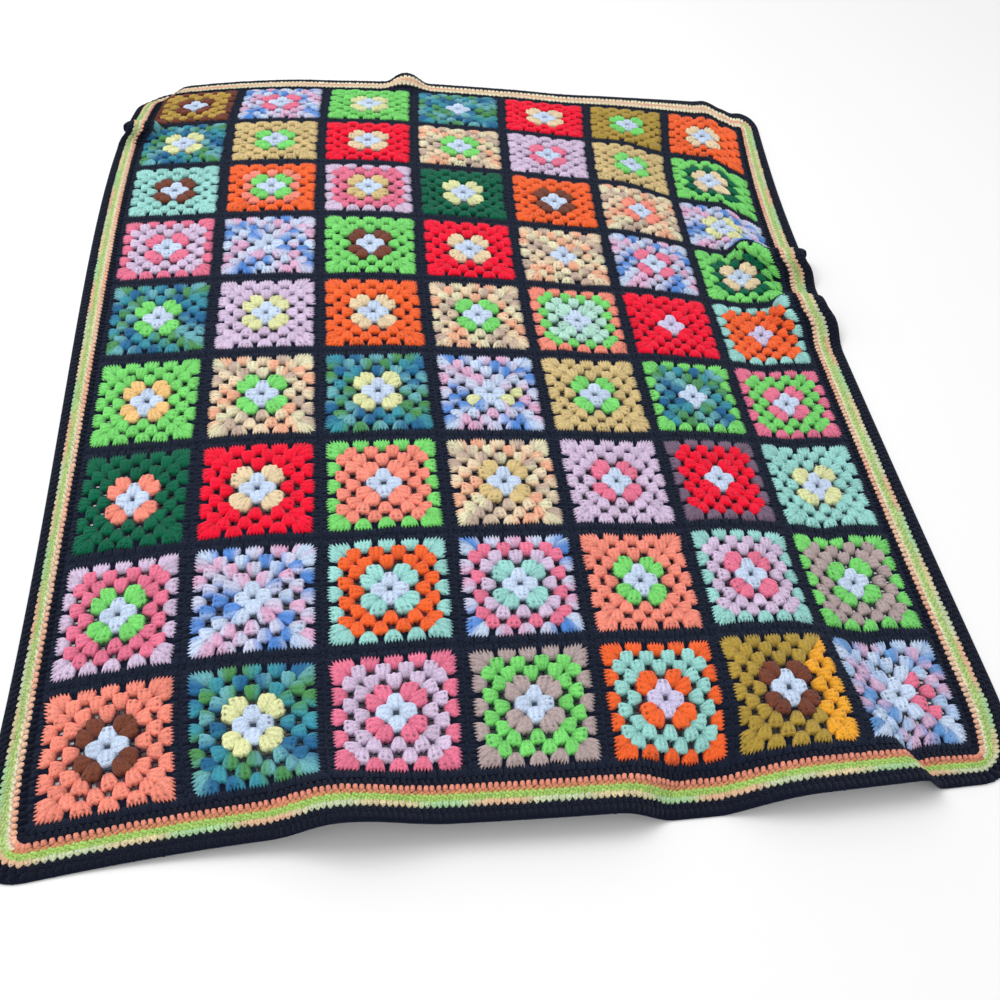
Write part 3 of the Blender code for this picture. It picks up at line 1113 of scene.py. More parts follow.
@dataclass(frozen=True)
class RimPath:
    """A closed line parallel to a rectangle's edges, counter-clockwise, with round corners.

    It is told by turn: turns 0 to 1 run up the right side, 1 to 2 round the far right
    corner, 2 to 3 along the far side, and so on to LEGS.

    Attributes:
        half_width: half its width.
        half_length: half its length.
        radius: radius of its corners.
    """

    half_width: float
    half_length: float
    radius: float

    def turns(self, count: int, first: float) -> Array:
        """Turns at which evenly spaced stitches stand.

        Args:
            count: stitches in the round.
            first: place of the first, in stitches.

        Returns:
            One turn for each stitch.
        """
        side = 2 * (self.half_length - self.radius)
        end = 2 * (self.half_width - self.radius)
        bend = math.pi / 2 * self.radius
        reached = np.concatenate(((0.0,), np.cumsum((side, bend, end, bend) * 2)))
        length = (np.arange(count) + first) / count * reached[-1]
        return np.interp(length, reached, np.arange(LEGS + 1.0))

    def at(self, turn: Array) -> Array:
        """Places on the line: a corner's middle, or a point between two, plus radius out.

        Args:
            turn: where on the line.

        Returns:
            (u, v) places, one in a row.
        """
        leg = np.floor(turn).astype(int) % LEGS
        share = turn - np.floor(turn)
        quarter = leg // 2
        bend = leg % 2
        middles = np.array(((1, 1), (-1, 1), (-1, -1), (1, -1)))
        middles = middles * (np.array((self.half_width, self.half_length)) - self.radius)
        back = np.where(bend, 0.0, 1.0 - share)[:, None]
        middle = middles[quarter] * (1 - back) + middles[(quarter - 1) % 4] * back
        angle = np.pi / 2 * (quarter + bend * share)
        return middle + self.radius * np.stack((np.cos(angle), np.sin(angle)), axis=-1)

    def nearest(self, places: Array) -> Array:
        """Places of the rectangle nearest to some outside it: each held to its half sizes."""
        half = np.array((self.half_width, self.half_length))
        return np.clip(places, -half, half)


@dataclass(frozen=True)
class BorderRound:
    """A round of the border.

    Attributes:
        name: what it is called.
        inner: where its stitches start, from the field's edge.
        outer: how far their tops reach.
        yarns: its yarn on the right, far, left and near side, or one for all four.
        form: the form of its stitches.
        lean: how far their tops run ahead of their feet, in stitches.
    """

    name: str
    inner: float
    outer: float
    yarns: tuple[Yarn, ...]
    form: StitchForm
    lean: float = 0.0


@dataclass
class Border:
    """The rounds worked round the field, from the inner dark one to the rim.

    Attributes:
        cloth: the laid cloth.
        draw: random draws.
        stitch: width of a stitch.
        middle_round: the line that the stitches are counted on, from the field's edge.
        uneven: spreads of a stitch's direction, in radians, and place.
        run_range: range of the yarn that a stitch takes, as a share of the mean.
        side_cells: cells of a strip along a side.
        bend_cells: cells of a strip round a corner.
        stripe_shade: painted shade on the yarn between the striped rounds' stitches, as a
        share of its colour.
        inner_dark: the dark round inside the stripes.
        stripes: the coloured rounds.
        rim: the dark rounds at the rim.
    """

    cloth: LaidCloth
    draw: np.random.Generator
    stitch: float = 0.0065
    middle_round: float = 0.015
    uneven: tuple[float, float] = (0.05, 0.0002)
    run_range: tuple[float, float] = (0.5, 1.5)
    side_cells: int = 150
    bend_cells: int = 10
    stripe_shade: float = 0.25
    inner_dark: BorderRound = BorderRound(
        "inner_dark", -0.0105, -0.0006, (Yarn.NAVY,), BUMP_STITCH)
    stripes: tuple[BorderRound, ...] = (
        BorderRound("coral_beads", -0.0030, 0.0034, (
            Yarn.BORDER_PEACH, Yarn.BORDER_CREAM, Yarn.BORDER_PEACH, Yarn.BORDER_PINK),
            BEAD_STITCH),
        BorderRound("coral_band", 0.0026, 0.0064, (
            Yarn.BORDER_CREAM, Yarn.BORDER_CREAM, Yarn.BORDER_CREAM, Yarn.BORDER_CORAL),
            BAND_STITCH, 0.35),
        BorderRound("lime", 0.0056, 0.0124, (
            Yarn.BORDER_PALE_LIME, Yarn.BORDER_PEACH, Yarn.BORDER_PALE_LIME, Yarn.BORDER_LIME),
            LIME_STITCH, -0.45),
        BorderRound("mixed", 0.0116, 0.0178, (
            Yarn.BORDER_MIX, Yarn.BORDER_CREAM, Yarn.BORDER_MIX, Yarn.BORDER_MIX),
            MIXED_STITCH, 0.3),
    )
    rim: tuple[BorderRound, ...] = (
        BorderRound("first_dark", 0.0146, 0.0240, (Yarn.NAVY,), BUMP_STITCH, 0.2),
        BorderRound("last_dark", 0.0222, 0.0304, (Yarn.NAVY,), RIM_STITCH, -0.2),
    )

    def path(self, offset: float) -> RimPath:
        """The line at a distance outside the field's edge; its corners round off outwards.

        Args:
            offset: the distance.

        Returns:
            The line.
        """
        cloth = self.cloth
        radius = cloth.corner_radius - cloth.stripes - cloth.outer_black + offset
        return RimPath(cloth.field_half[0] + offset, cloth.field_half[1] + offset, radius)

    def _stand(self, piece: Piece, row: BorderRound, step: float) -> None:
        """Work one round.

        Args:
            piece: the piece that it becomes part of.
            row: the round.
            step: place of its first stitch, in stitches.
        """
        middle = self.path(self.middle_round)
        count = round(4 * (self.cloth.field_half.sum() + 2 * self.middle_round) / self.stitch)
        turns = middle.turns(count, step)
        feet = self.path(row.inner).at(turns)
        tops = self.path(row.outer).at(middle.turns(count, step + row.lean))
        run = np.cumsum(self.draw.uniform(*self.run_range, count))
        side = np.floor((turns + 0.5) / 2).astype(int) % len(row.yarns)
        shades = np.stack([shade_of(yarn, run / YARNS[yarn].run) for yarn in row.yarns])
        colour = np.repeat(shades[side, np.arange(count)][:, None, :], 3, axis=1)
        stitches = StitchRow(row.form, feet, tops, colour)
        piece.add(stitches.varied(self.draw, *self.uneven))

    def _sheet(self, name: str, node: str, inner: float, outer: float, colours: Array,
               material: bpy.types.Material) -> None:
        """Args:
            name: the object's name.
            node: the frame's node that it stands for.
            inner: its inner edge, from the field's edge.
            outer: its outer edge.
            colours: its colour at each third of its width.
            material: its finish.
        """
        sides = np.linspace(0.0, 1.0, self.side_cells, endpoint=False)
        bends = np.linspace(0.0, 1.0, self.bend_cells, endpoint=False)
        turn = np.concatenate([leg + (bends if leg % 2 else sides) for leg in range(LEGS)])
        offsets = np.linspace(inner, outer, 4)
        lines = [self.path(float(offset)).at(turn) for offset in offsets]
        flat = np.stack(lines, axis=1).reshape(-1, 2)
        corner = np.arange(len(flat)).reshape(len(turn), len(offsets))
        corner = np.concatenate((corner, corner[:1]))
        keep = np.ones((len(turn), len(offsets) - 1), bool)
        faces = sheet_faces(corner, keep, len(flat), wrap=True)
        tone = np.tile(colours, (len(turn), 1))
        under = np.tile(shade_of(Yarn.NAVY, np.zeros(1)), (len(faces) - len(tone), 1))
        made = sheet_object(name, self.cloth, flat, faces, np.concatenate((tone, under)))
        dress(made, material)
        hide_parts(node)

    def make(self, finishes: "Finishes") -> None:
        """Work all rounds and lay their strips.

        Args:
            finishes: the materials.
        """
        stripes = Piece("striped_border_stitches", self.cloth, self.draw)
        for row in self.stripes:
            self._stand(stripes, row, 0.0)
        stripes.make(finishes.bright, "striped_yarns")
        rim = Piece("outer_border_stitches", self.cloth, self.draw)
        for step, row in enumerate(self.rim):
            self._stand(rim, row, 0.5 * ((step + 1) % 2))
        rim.make(finishes.dark, "navy_black_yarn")
        inner = Piece("inner_border_stitches", self.cloth, self.draw)
        self._stand(inner, self.inner_dark, 0.5)
        inner.make(finishes.dark, "navy_black_yarn")
        shades = [shade_of(row.yarns[-1], np.zeros(1)) for row in self.stripes[1:]]
        navy = np.repeat(shade_of(Yarn.NAVY, np.zeros(1)), 3, axis=0)
        width = self.cloth.stripes
        rim_width = width + self.cloth.outer_black
        gap = NODE_GAP / 2
        # painted shade: the striped strip is its rounds' yarns darkened to stripe_shade
        self._sheet("striped_border_cloth", "striped_border", gap, width - gap,
                    np.concatenate(shades) * self.stripe_shade, finishes.backing)
        self._sheet("outer_border_cloth", "outer_border", width + gap, rim_width, navy,
                    finishes.backing)


# ---- the squares -------------------------------------------------------------------------
@dataclass(frozen=True)
class ClusterRound:
    """A round of clusters of a square.

    Attributes:
        inner: where its clusters start, from the middle of the square.
        outer: how far their tops reach.
        a_side: clusters along a side.
        foot_lean: how far a corner cluster's foot is drawn in along the side.
        top_lean: how far its top leans towards the corner.
        dip: how much nearer the middle of the square its foot starts.
        form: the form of its clusters.
        corner_form: the form of those at the corners.
        squared: whether those at the corners keep their tops level with the side.
    """

    inner: float
    outer: float
    a_side: int
    foot_lean: float
    top_lean: float
    dip: float
    form: StitchForm
    corner_form: StitchForm
    squared: bool = False


@dataclass
class Squares:
    """All the granny squares, and the dark stitches between them.

    Attributes:
        cloth: the laid cloth.
        draw: random draws.
        spacing: from one cluster of a side to the next.
        rounds: the rounds of a square, from its middle out.
        dark_inner: where the dark stitches start, from the middle of the square.
        dark_outer: how far their tops reach.
        dark_a_side: dark stitches along a side.
        seam_stitch: length of a stitch of a seam's ridge.
        seam_reach: how far such a stitch reaches, in its own lengths.
        first_run: range of the place along a yarn at which a square starts, in shades.
        next_run: range of the length that is lost between two rounds.
        corner_outer: corner radius of the line of the dark stitches' tops.
        corner_inner: the same, of the line where they start.
        cluster_uneven: spreads of a cluster's direction, in radians, and place.
        dark_uneven: the same, of a dark stitch.
        seam_uneven: the same, of a stitch of a seam.
    """

    cloth: LaidCloth
    draw: np.random.Generator
    spacing: float = 0.0244
    rounds: tuple[ClusterRound, ...] = (
        ClusterRound(0.0020, 0.0206, 1, 0.0, 0.0, 0.0, PETAL, PETAL),
        ClusterRound(0.0122, 0.0308, 2, 0.0026, 0.0034, 0.0014, CLUSTER, CORNER_CLUSTER, True),
        ClusterRound(0.0254, 0.0422, 3, 0.0024, 0.0010, 0.0010, CLUSTER, CLUSTER),
        ClusterRound(0.0362, 0.0532, 4, 0.0022, 0.0002, 0.0010, CLUSTER, CLUSTER),
        ClusterRound(0.0470, 0.0618, 5, 0.0058, 0.0016, 0.0036, FAN, CORNER_FAN, True),
    )
    dark_inner: float = 0.0592
    dark_outer: float = 0.0690
    dark_a_side: int = 26
    seam_stitch: float = 0.0068
    seam_reach: float = 1.25
    first_run: float = 8.0
    next_run: float = 1.2
    corner_outer: float = 0.004
    corner_inner: float = 0.003
    cluster_uneven: tuple[float, float] = (0.06, 0.0004)
    dark_uneven: tuple[float, float] = (0.09, 0.0005)
    seam_uneven: tuple[float, float] = (0.10, 0.0003)

    def _square(self, number: int) -> tuple[Array, Array, Array]:
        """Feet, tops and sides of a round's clusters, in turn round the square.

        On the side facing +v, cluster k of n stands spacing (k - (n - 1) / 2) across; the
        first and last lean into the corners. The other sides are quarter turns of it, and
        a cluster's width runs along its side.

        Args:
            number: which round, from 0.

        Returns:
            Feet, tops and directions of their width, one in a row.
        """
        plan = self.rounds[number]
        lateral = (np.arange(plan.a_side) - (plan.a_side - 1) / 2) * self.spacing
        ends = np.zeros(plan.a_side)
        if plan.a_side > 1:
            ends[0], ends[-1] = -1.0, 1.0
        foot = np.stack((lateral - ends * plan.foot_lean,
                         plan.inner - np.abs(ends) * plan.dip), axis=-1)
        top = np.stack((lateral + ends * plan.top_lean, np.full(plan.a_side, plan.outer)), -1)
        level = np.tile((1.0, 0.0), (plan.a_side, 1))
        feet, tops, sides = [], [], []
        for quarter in range(4):
            angle = quarter * math.pi / 2
            cos, sin = round(math.cos(angle)), round(math.sin(angle))
            turn = np.array(((cos, sin), (-sin, cos)))
            feet.append(foot[::-1] @ turn)
            tops.append(top[::-1] @ turn)
            sides.append(level @ turn)
        return np.concatenate(feet), np.concatenate(tops), np.concatenate(sides)

    def yarn(self, row: int, column: int, number: int) -> Yarn:
        """Yarn of a round of a square; rows run from the far edge."""
        return Yarn(CHART[row].split()[column][number])

    def mean_colour(self, u: Array, v: Array, ring: Numbers) -> Array:
        """Plain colour of the squares at places of the field.

        Args:
            u: places across.
            v: places along.
            ring: number of the round there, from 0; past the last is dark.

        Returns:
            A colour for each place.
        """
        cloth = self.cloth
        column = np.clip((u / cloth.pitch + cloth.columns / 2).astype(int), 0, cloth.columns - 1)
        row = np.clip((cloth.rows / 2 - v / cloth.pitch).astype(int), 0, cloth.rows - 1)
        table = np.zeros((cloth.rows, cloth.columns, len(self.rounds) + 1, 3))
        table[:] = YARNS[Yarn.NAVY].shades[0]
        for r in range(cloth.rows):
            for c in range(cloth.columns):
                for k in range(len(self.rounds)):
                    shades = np.array(YARNS[self.yarn(r, c, k)].shades)
                    table[r, c, k] = shades.mean(axis=0)
        return table[row, column, ring]

    def _clusters(self, piece: Piece, row: int) -> None:
        """Work the clusters of one row of squares.

        The yarn runs on from cluster to cluster round the square, from each one's right to
        its left, so a variegated yarn has the same shade where two of them meet.

        Args:
            piece: the piece that they become part of.
            row: which row, from the far edge.
        """
        cloth = self.cloth
        v = -cloth.centres(cloth.rows)[row]
        for column, u in enumerate(cloth.centres(cloth.columns)):
            start = self.draw.uniform(0.0, self.first_run)
            for number, plan in enumerate(self.rounds):
                feet, tops, sides = self._square(number)
                yarn = self.yarn(row, column, number)
                steps = np.arange(len(feet))[:, None] + np.array((1.0, 0.5, 0.0))[None]
                walk = start + steps / YARNS[yarn].run
                start = float(walk[-1, 0]) + self.draw.uniform(0.0, self.next_run)
                colour = shade_of(yarn, walk)
                for change in YARN_CHANGES:
                    if (change.row, change.column, change.number) == (row, column, number):
                        part = slice(change.first, change.last)
                        colour[part] = shade_of(change.yarn, walk[part])
                middle = np.array((u, v))
                place = np.arange(len(feet)) % plan.a_side
                corner = (place == 0) | (place == plan.a_side - 1)
                for form, part in ((plan.form, ~corner), (plan.corner_form, corner)):
                    if part.any():
                        stitches = StitchRow(form, feet[part] + middle, tops[part] + middle,
                                             colour[part], sides[part] if plan.squared else None)
                        piece.add(stitches.varied(self.draw, *self.cluster_uneven))

    def _dark_round(self, piece: Piece, u: float, v: float) -> None:
        """Work the dark stitches round one square.

        Args:
            piece: the piece that they become part of.
            u: middle of the square, across.
            v: middle of the square, along.
        """
        outer = RimPath(self.dark_outer, self.dark_outer, self.corner_outer)
        inner = RimPath(self.dark_inner, self.dark_inner, self.corner_inner)
        tops = outer.at(outer.turns(4 * self.dark_a_side, 0.0))
        colour = np.tile(shade_of(Yarn.JOINING_NAVY, np.zeros(1)), (len(tops), 3, 1))
        middle = np.array((u, v))
        stitches = StitchRow(DARK_STITCH, inner.nearest(tops) + middle, tops + middle, colour)
        piece.add(stitches.varied(self.draw, *self.dark_uneven))

    def _seam(self, piece: Piece, start: Array, end: Array) -> None:
        """Work the ridge of a seam between two rows of squares.

        Args:
            piece: the piece that it becomes part of.
            start: where it begins on the flat cloth.
            end: where it ends.
        """
        length = float(np.linalg.norm(end - start))
        count = round(length / self.seam_stitch)
        step = (end - start) / count
        feet = start + np.arange(count)[:, None] * step
        colour = np.tile(shade_of(Yarn.JOINING_NAVY, np.zeros(1)), (count, 3, 1))
        stitches = StitchRow(SEAM_STITCH, feet, feet + step * self.seam_reach, colour)
        piece.add(stitches.varied(self.draw, *self.seam_uneven))

    def make(self, finishes: "Finishes") -> list[bpy.types.Object]:
        """Work every square, the dark rounds and the seams.

        Args:
            finishes: the materials.

        Returns:
            The pieces.
        """
        cloth = self.cloth
        made = []
        for row in range(cloth.rows):
            piece = Piece(f"granny_squares_row_{row + 1}", cloth, self.draw)
            self._clusters(piece, row)
            made.append(piece.make(finishes.bright, "mixed_bright_yarns"))
        dark = Piece("joining_rounds", cloth, self.draw)
        for v in cloth.centres(cloth.rows):
            for u in cloth.centres(cloth.columns):
                self._dark_round(dark, float(u), float(v))
        made.append(dark.make(finishes.dark, "navy_black_yarn"))
        seams = Piece("joining_seams", cloth, self.draw)
        reach = np.array((cloth.columns, cloth.rows)) * cloth.pitch / 2
        for v in cloth.centres(cloth.rows - 1):
            self._seam(seams, np.array((-reach[0], v)), np.array((reach[0], v)))
        for u in cloth.centres(cloth.columns - 1):
            self._seam(seams, np.array((u, -reach[1])), np.array((u, reach[1])))
        made.append(seams.make(finishes.dark, "navy_black_yarn"))
        return made


# ---- finishes ----------------------------------------------------------------------------
class Nodes:
    """Short ways to place and join the nodes of one tree."""

    def __init__(self, tree: bpy.types.NodeTree) -> None:
        """Keep the tree."""
        self.tree = tree

    def add(self, kind: str, **values: object) -> bpy.types.Node:
        """Place a node and set its own properties.

        Args:
            kind: the node's type.
            **values: its properties.

        Returns:
            The node.
        """
        node = self.tree.nodes.new(kind)
        for name, value in values.items():
            setattr(node, name, value)
        return node

    def join(self, source: bpy.types.NodeSocket | float, target: bpy.types.NodeSocket) -> None:
        """Link a socket to another, or set a plain number on it.

        Args:
            source: a socket or a number.
            target: the socket that takes it.
        """
        if isinstance(source, bpy.types.NodeSocket):
            self.tree.links.new(source, target)
        else:
            target.default_value = source

    def maths(self, operation: str, *values: bpy.types.NodeSocket | float,
              clamp: bool = False) -> bpy.types.NodeSocket:
        """Place a Math node.

        Args:
            operation: what it does.
            *values: its inputs, sockets or numbers.
            clamp: whether the answer is held to 0 to 1.

        Returns:
            Its output.
        """
        node = self.add("ShaderNodeMath", operation=operation, use_clamp=clamp)
        for value, target in zip(values, node.inputs):
            self.join(value, target)
        return node.outputs[0]

    def window(self, value: bpy.types.NodeSocket, low: float,
               high: float) -> bpy.types.NodeSocket:
        """Smooth step of a value, 0 at low and 1 at high; low may be the larger.

        Args:
            value: the socket to read.
            low: value that gives 0.
            high: value that gives 1.

        Returns:
            The step's output.
        """
        node = self.add("ShaderNodeMapRange", interpolation_type="SMOOTHSTEP")
        self.join(value, node.inputs["Value"])
        node.inputs["From Min"].default_value = low
        node.inputs["From Max"].default_value = high
        return node.outputs["Result"]


GROOVE_RISE = (0.06, 0.18)      # shares of a stitch where its grooves come in
GROOVE_FALL = (0.74, 0.62)      # and where they are gone, and still whole
DIMPLE_SHARE = 0.76             # where its dimples lie, and their reach across and along
DIMPLE_ACROSS = 0.36
DIMPLE_ALONG = 0.11
PLIES_A_POST = 1.6              # turns of the plies from post to post, and along a stitch
PLIES_A_STITCH = 5.0
FIBRE_SIZES = (0.0024, 0.0008)  # widths of the two noises
FIBRE_DETAIL = 1.5
WHOLE_LIGHT = 1.06              # what all the darkening is taken from
FIBRE_RELIEF = 0.5              # relief of the fibres, and of what is darkened
DARK_RELIEF = -2.0


def yarn_group() -> bpy.types.NodeTree:
    """Effect of worked yarn: grooves between posts, dimples, twisted plies, loose fibres.

    With p posts passed and a share s of the stitch, d is the distance to the nearest
    groove, |p - round(p)|. The darkening of grooves, holes and plies is painted shade.
    Between shares 0.12 and 0.68 the grooves darken by Groove (1 - 2 d)²; a small hole at
    each groove at share 0.76 darkens by Dimple (1 - r) times the stitch's own lot,
    r² = (d / 0.36)² + ((s - 0.76) / 0.11)²; the plies darken by Twist times
    0.5 + 0.5 sin(2π (1.6 p + 5 s)); and two noises, 2.4 mm and 0.8 mm wide, vary it by
    Fibre. All of it is taken from 1.06, so that the mean stays near the yarn's own colour.
    The relief is lower wherever the colour is darker.

    Returns:
        The node group.
    """
    group = bpy.data.node_groups.new("worked_yarn", "ShaderNodeTree")
    face = group.interface
    face.new_socket("Colour", in_out="INPUT", socket_type="NodeSocketColor")
    face.new_socket("Stitch", in_out="INPUT", socket_type="NodeSocketVector")
    for name in ("Groove Shade", "Dimple Shade", "Twist", "Fibre"):
        face.new_socket(name, in_out="INPUT", socket_type="NodeSocketFloat")
    face.new_socket("Colour", in_out="OUTPUT", socket_type="NodeSocketColor")
    face.new_socket("Relief", in_out="OUTPUT", socket_type="NodeSocketFloat")
    nodes = Nodes(group)
    given = nodes.add("NodeGroupInput").outputs
    mark = nodes.add("ShaderNodeSeparateXYZ")
    nodes.join(given["Stitch"], mark.inputs[0])
    post, share = mark.outputs[0], mark.outputs[1]
    near = nodes.maths("ABSOLUTE", nodes.maths("SUBTRACT", post, nodes.maths("ROUND", post)))
    ridge = nodes.maths("SUBTRACT", 1.0, nodes.maths("MULTIPLY", near, 2.0))
    groove = nodes.maths("MULTIPLY", ridge, ridge)
    groove = nodes.maths("MULTIPLY", groove, nodes.window(share, *GROOVE_RISE))
    groove = nodes.maths("MULTIPLY", groove, nodes.window(share, *GROOVE_FALL))
    aside = nodes.maths("POWER", nodes.maths("DIVIDE", near, DIMPLE_ACROSS), 2.0)
    along = nodes.maths("DIVIDE", nodes.maths("SUBTRACT", share, DIMPLE_SHARE), DIMPLE_ALONG)
    away = nodes.maths("SQRT", nodes.maths("ADD", aside, nodes.maths("POWER", along, 2.0)))
    dimple_shade = nodes.maths("SUBTRACT", 1.0, away, clamp=True)
    dimple_shade = nodes.maths("MULTIPLY", dimple_shade, mark.outputs[2])
    phase = nodes.maths("ADD", nodes.maths("MULTIPLY", post, PLIES_A_POST),
                        nodes.maths("MULTIPLY", share, PLIES_A_STITCH))
    wave = nodes.maths("SINE", nodes.maths("MULTIPLY", phase, 2 * math.pi))
    ply = nodes.maths("MULTIPLY_ADD", wave, 0.5, 0.5)
    place = nodes.add("ShaderNodeTexCoord")
    noises = []
    for size in FIBRE_SIZES:
        noise = nodes.add("ShaderNodeTexNoise")
        noise.inputs["Scale"].default_value = 1.0 / size
        noise.inputs["Detail"].default_value = FIBRE_DETAIL
        nodes.join(place.outputs["Object"], noise.inputs["Vector"])
        noises.append(noise.outputs["Fac"])
    fibre = nodes.maths("ADD", noises[0], noises[1])
    # painted shade: grooves, holes and plies darken the yarn's colour
    dark = nodes.maths("MULTIPLY", groove, given["Groove Shade"])
    dark = nodes.maths("MULTIPLY_ADD", dimple_shade, given["Dimple Shade"], dark)
    dark = nodes.maths("MULTIPLY_ADD", ply, given["Twist"], dark)
    loose = nodes.maths("MULTIPLY", nodes.maths("SUBTRACT", 1.0, fibre), given["Fibre"])
    total = nodes.maths("SUBTRACT", WHOLE_LIGHT, nodes.maths("ADD", dark, loose))
    grey = nodes.add("ShaderNodeCombineColor")
    for channel in grey.inputs:
        nodes.join(total, channel)
    tint = nodes.add("ShaderNodeMix", data_type="RGBA", blend_type="MULTIPLY")
    tint.inputs["Factor"].default_value = 1.0
    nodes.join(given["Colour"], tint.inputs["A"])
    nodes.join(grey.outputs[0], tint.inputs["B"])
    relief = nodes.maths("MULTIPLY_ADD", fibre, FIBRE_RELIEF,
                         nodes.maths("MULTIPLY", dark, DARK_RELIEF))
    out = nodes.add("NodeGroupOutput").inputs
    nodes.join(tint.outputs["Result"], out["Colour"])
    nodes.join(relief, out["Relief"])
    return group


@dataclass(frozen=True)
class YarnFinish:
    """How a yarn takes the light.

    Attributes:
        name: the material's name.
        roughness: of its fibres.
        sheen: weight of the soft glow of its loose fibres.
        groove: how much painted shade darkens it between the posts.
        dimple_shade: how much painted shade darkens the small holes under a stitch's top.
        ply_shade: how much painted shade darkens it between the plies.
        fibre: how uneven its fibres make the colour.
        relief: height of the relief, in metres.
        sheen_roughness: how wide the glow spreads.
        sheen_tint: its colour.
        specular: how strongly the fibres mirror.
    """

    name: str
    roughness: float
    sheen: float
    groove: float
    dimple_shade: float
    ply_shade: float
    fibre: float
    relief: float
    sheen_roughness: float = 0.45
    sheen_tint: tuple[float, ...] = (0.70, 0.80, 1.0, 1.0)
    specular: float = 0.12

    def material(self, group: bpy.types.NodeTree) -> bpy.types.Material:
        """Make the material.

        Args:
            group: the shared effect of worked yarn.

        Returns:
            A Principled material that reads the piece's own yarn_colour_and_shade and stitch.
        """
        made = bpy.data.materials.new(self.name)
        made.use_nodes = True
        nodes = Nodes(made.node_tree)
        shader = made.node_tree.nodes["Principled BSDF"]
        shader.inputs["Roughness"].default_value = self.roughness
        shader.inputs["Sheen Weight"].default_value = self.sheen
        shader.inputs["Sheen Roughness"].default_value = self.sheen_roughness
        shader.inputs["Sheen Tint"].default_value = self.sheen_tint
        shader.inputs["Specular IOR Level"].default_value = self.specular
        colour = nodes.add("ShaderNodeAttribute", attribute_name="yarn_colour_and_shade")
        stitch = nodes.add("ShaderNodeAttribute", attribute_name="stitch")
        effect = nodes.add("ShaderNodeGroup", node_tree=group)
        nodes.join(colour.outputs["Color"], effect.inputs["Colour"])
        nodes.join(stitch.outputs["Vector"], effect.inputs["Stitch"])
        for name, value in (("Groove Shade", self.groove), ("Dimple Shade", self.dimple_shade),
                            ("Twist", self.ply_shade), ("Fibre", self.fibre)):
            effect.inputs[name].default_value = value
        bump = nodes.add("ShaderNodeBump")
        bump.inputs["Distance"].default_value = self.relief
        nodes.join(effect.outputs["Relief"], bump.inputs["Height"])
        nodes.join(effect.outputs["Colour"], shader.inputs["Base Color"])
        nodes.join(bump.outputs["Normal"], shader.inputs["Normal"])
        return made


class Finishes:
    """The materials of the blanket."""

    def __init__(self) -> None:
        """Make them all over one shared effect."""
        group = yarn_group()
        self.bright = YarnFinish(
            "bright_yarns", roughness=0.85, sheen=0.15, groove=0.17, dimple_shade=0.60, ply_shade=0.07,
            fibre=0.74, relief=0.0022).material(group)
        self.dark = YarnFinish(
            "navy_black_yarn", roughness=0.9, sheen=0.08, groove=0.20, dimple_shade=0.0, ply_shade=0.25,
            fibre=0.80, relief=0.0014).material(group)
        self.backing = YarnFinish(
            "yarn_between", roughness=0.95, sheen=0.03, groove=0.0, dimple_shade=0.0, ply_shade=0.0,
            fibre=0.60, relief=0.0003).material(group)


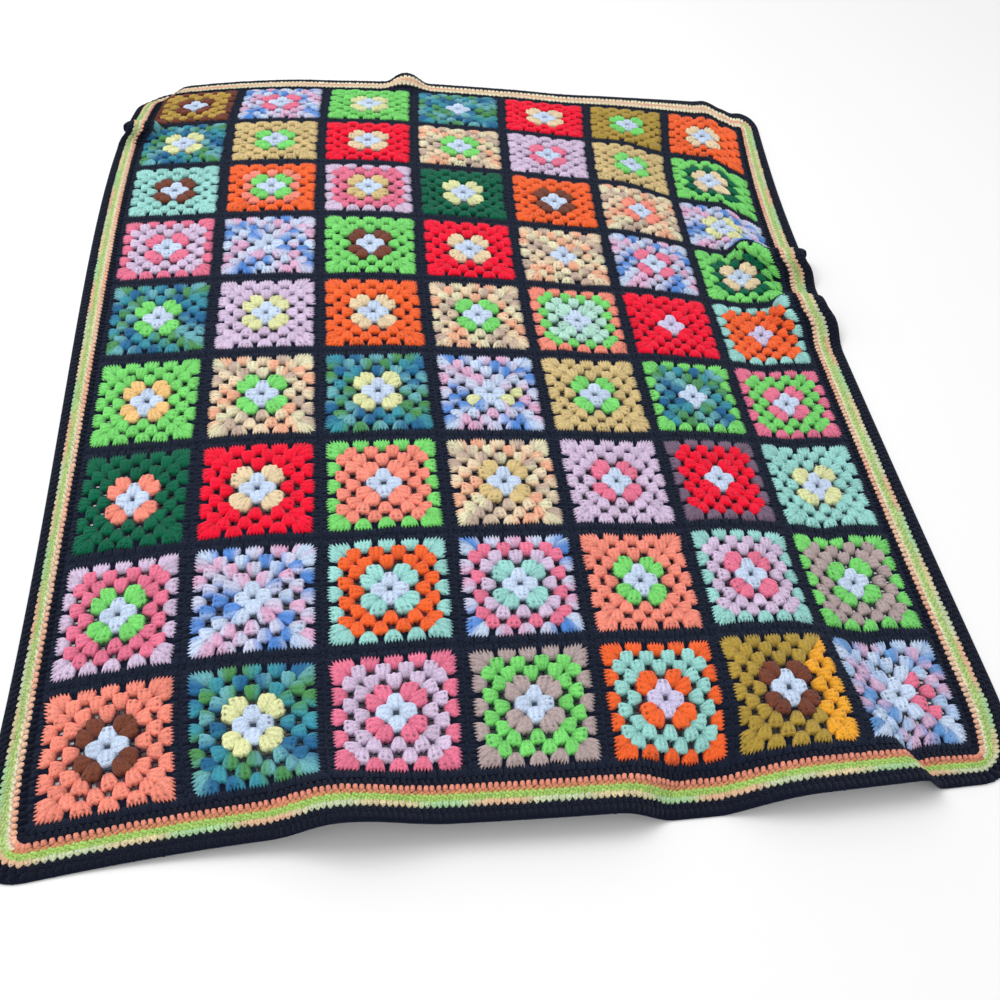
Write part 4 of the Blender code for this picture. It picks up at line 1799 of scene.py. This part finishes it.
# ---- stage, light and camera -------------------------------------------------------------
@dataclass(frozen=True)
class Studio:
    """A plain pale floor under soft light, and the camera.

    Attributes:
        floor_half: half the floor's width.
        floor_drop: how far it lies under the blanket.
        floor_shade: its grey.
        floor_roughness: how dull it is.
        sky: strength of the even light.
        key_power: of the lamp, in watts.
        key_place: where the lamp is.
        key_size: its width.
        camera_place: where the camera is.
        camera_turn: its turns about x, y and z, in degrees.
        focal_length: of its lens, in millimetres.
        sensor_width: of its sensor, in millimetres.
    """

    floor_half: float = 6.0
    floor_drop: float = 0.0002
    floor_shade: float = 0.86
    floor_roughness: float = 0.9
    sky: float = 0.85
    key_power: float = 45.0
    key_place: Colour = (-1.4, 0.4, 2.6)
    key_size: float = 1.6
    camera_place: Colour = (-0.1650, -1.0366, 0.9033)
    camera_turn: Colour = (40.529, -5.433, -5.472)
    focal_length: float = 36.65
    sensor_width: float = 36.0

    def _floor(self) -> None:
        """Lay the floor just under the blanket."""
        half = self.floor_half
        points = np.array(((-half, -half, 0.0), (half, -half, 0.0),
                           (half, half, 0.0), (-half, half, 0.0)))
        points[:, 2] = -self.floor_drop
        floor = mesh_object("floor", points, np.array(((0, 1, 2, 3),)))
        finish = bpy.data.materials.new("pale_floor")
        finish.use_nodes = True
        shader = finish.node_tree.nodes["Principled BSDF"]
        shader.inputs["Base Color"].default_value = (*(self.floor_shade,) * 3, 1.0)
        shader.inputs["Roughness"].default_value = self.floor_roughness
        floor.data.materials.append(finish)

    def _light(self) -> None:
        """Light it with an even sky and one large soft lamp."""
        world = bpy.data.worlds.new("studio")
        world.use_nodes = True
        sky = world.node_tree.nodes["Background"]
        sky.inputs["Color"].default_value = (1.0, 1.0, 1.0, 1.0)
        sky.inputs["Strength"].default_value = self.sky
        bpy.context.scene.world = world
        lamp = bpy.data.lights.new("key", "AREA")
        lamp.energy = self.key_power
        lamp.size = self.key_size
        key = bpy.data.objects.new("key", lamp)
        key.location = self.key_place
        key.rotation_euler = aim(self.key_place)
        bpy.context.scene.collection.objects.link(key)

    def _camera(self) -> None:
        """Set the camera up."""
        lens = bpy.data.cameras.new("camera")
        lens.lens = self.focal_length
        lens.sensor_width = self.sensor_width
        camera = bpy.data.objects.new("camera", lens)
        camera.location = self.camera_place
        camera.rotation_euler = Euler([math.radians(turn) for turn in self.camera_turn])
        bpy.context.scene.collection.objects.link(camera)
        bpy.context.scene.camera = camera

    def make(self) -> None:
        """Make the stage, the light and the camera."""
        self._floor()
        self._light()
        self._camera()
        bpy.context.scene.view_settings.view_transform = "Standard"


def aim(place: Colour) -> Euler:
    """Turn of a lamp, so that it points at the middle of the blanket.

    Args:
        place: where the lamp is.

    Returns:
        Its turn.
    """
    across, along, up = place
    return Euler((math.atan2(math.hypot(across, along), up), 0.0,
                  math.atan2(-across, along) + math.pi))


# ---- the blanket -------------------------------------------------------------------------
def main() -> None:
    """Build the studio and the blanket, piece by piece."""
    logging.basicConfig(level=logging.INFO, format="%(message)s")
    draw = np.random.default_rng(SEED)
    Studio().make()
    cloth = LaidCloth()
    finishes = Finishes()
    squares = Squares(cloth, draw)
    stitches = squares.make(finishes)
    under = FieldCloth(cloth).make(squares, finishes.backing)
    Border(cloth, draw).make(finishes)


if __name__ == "__main__":
    main()
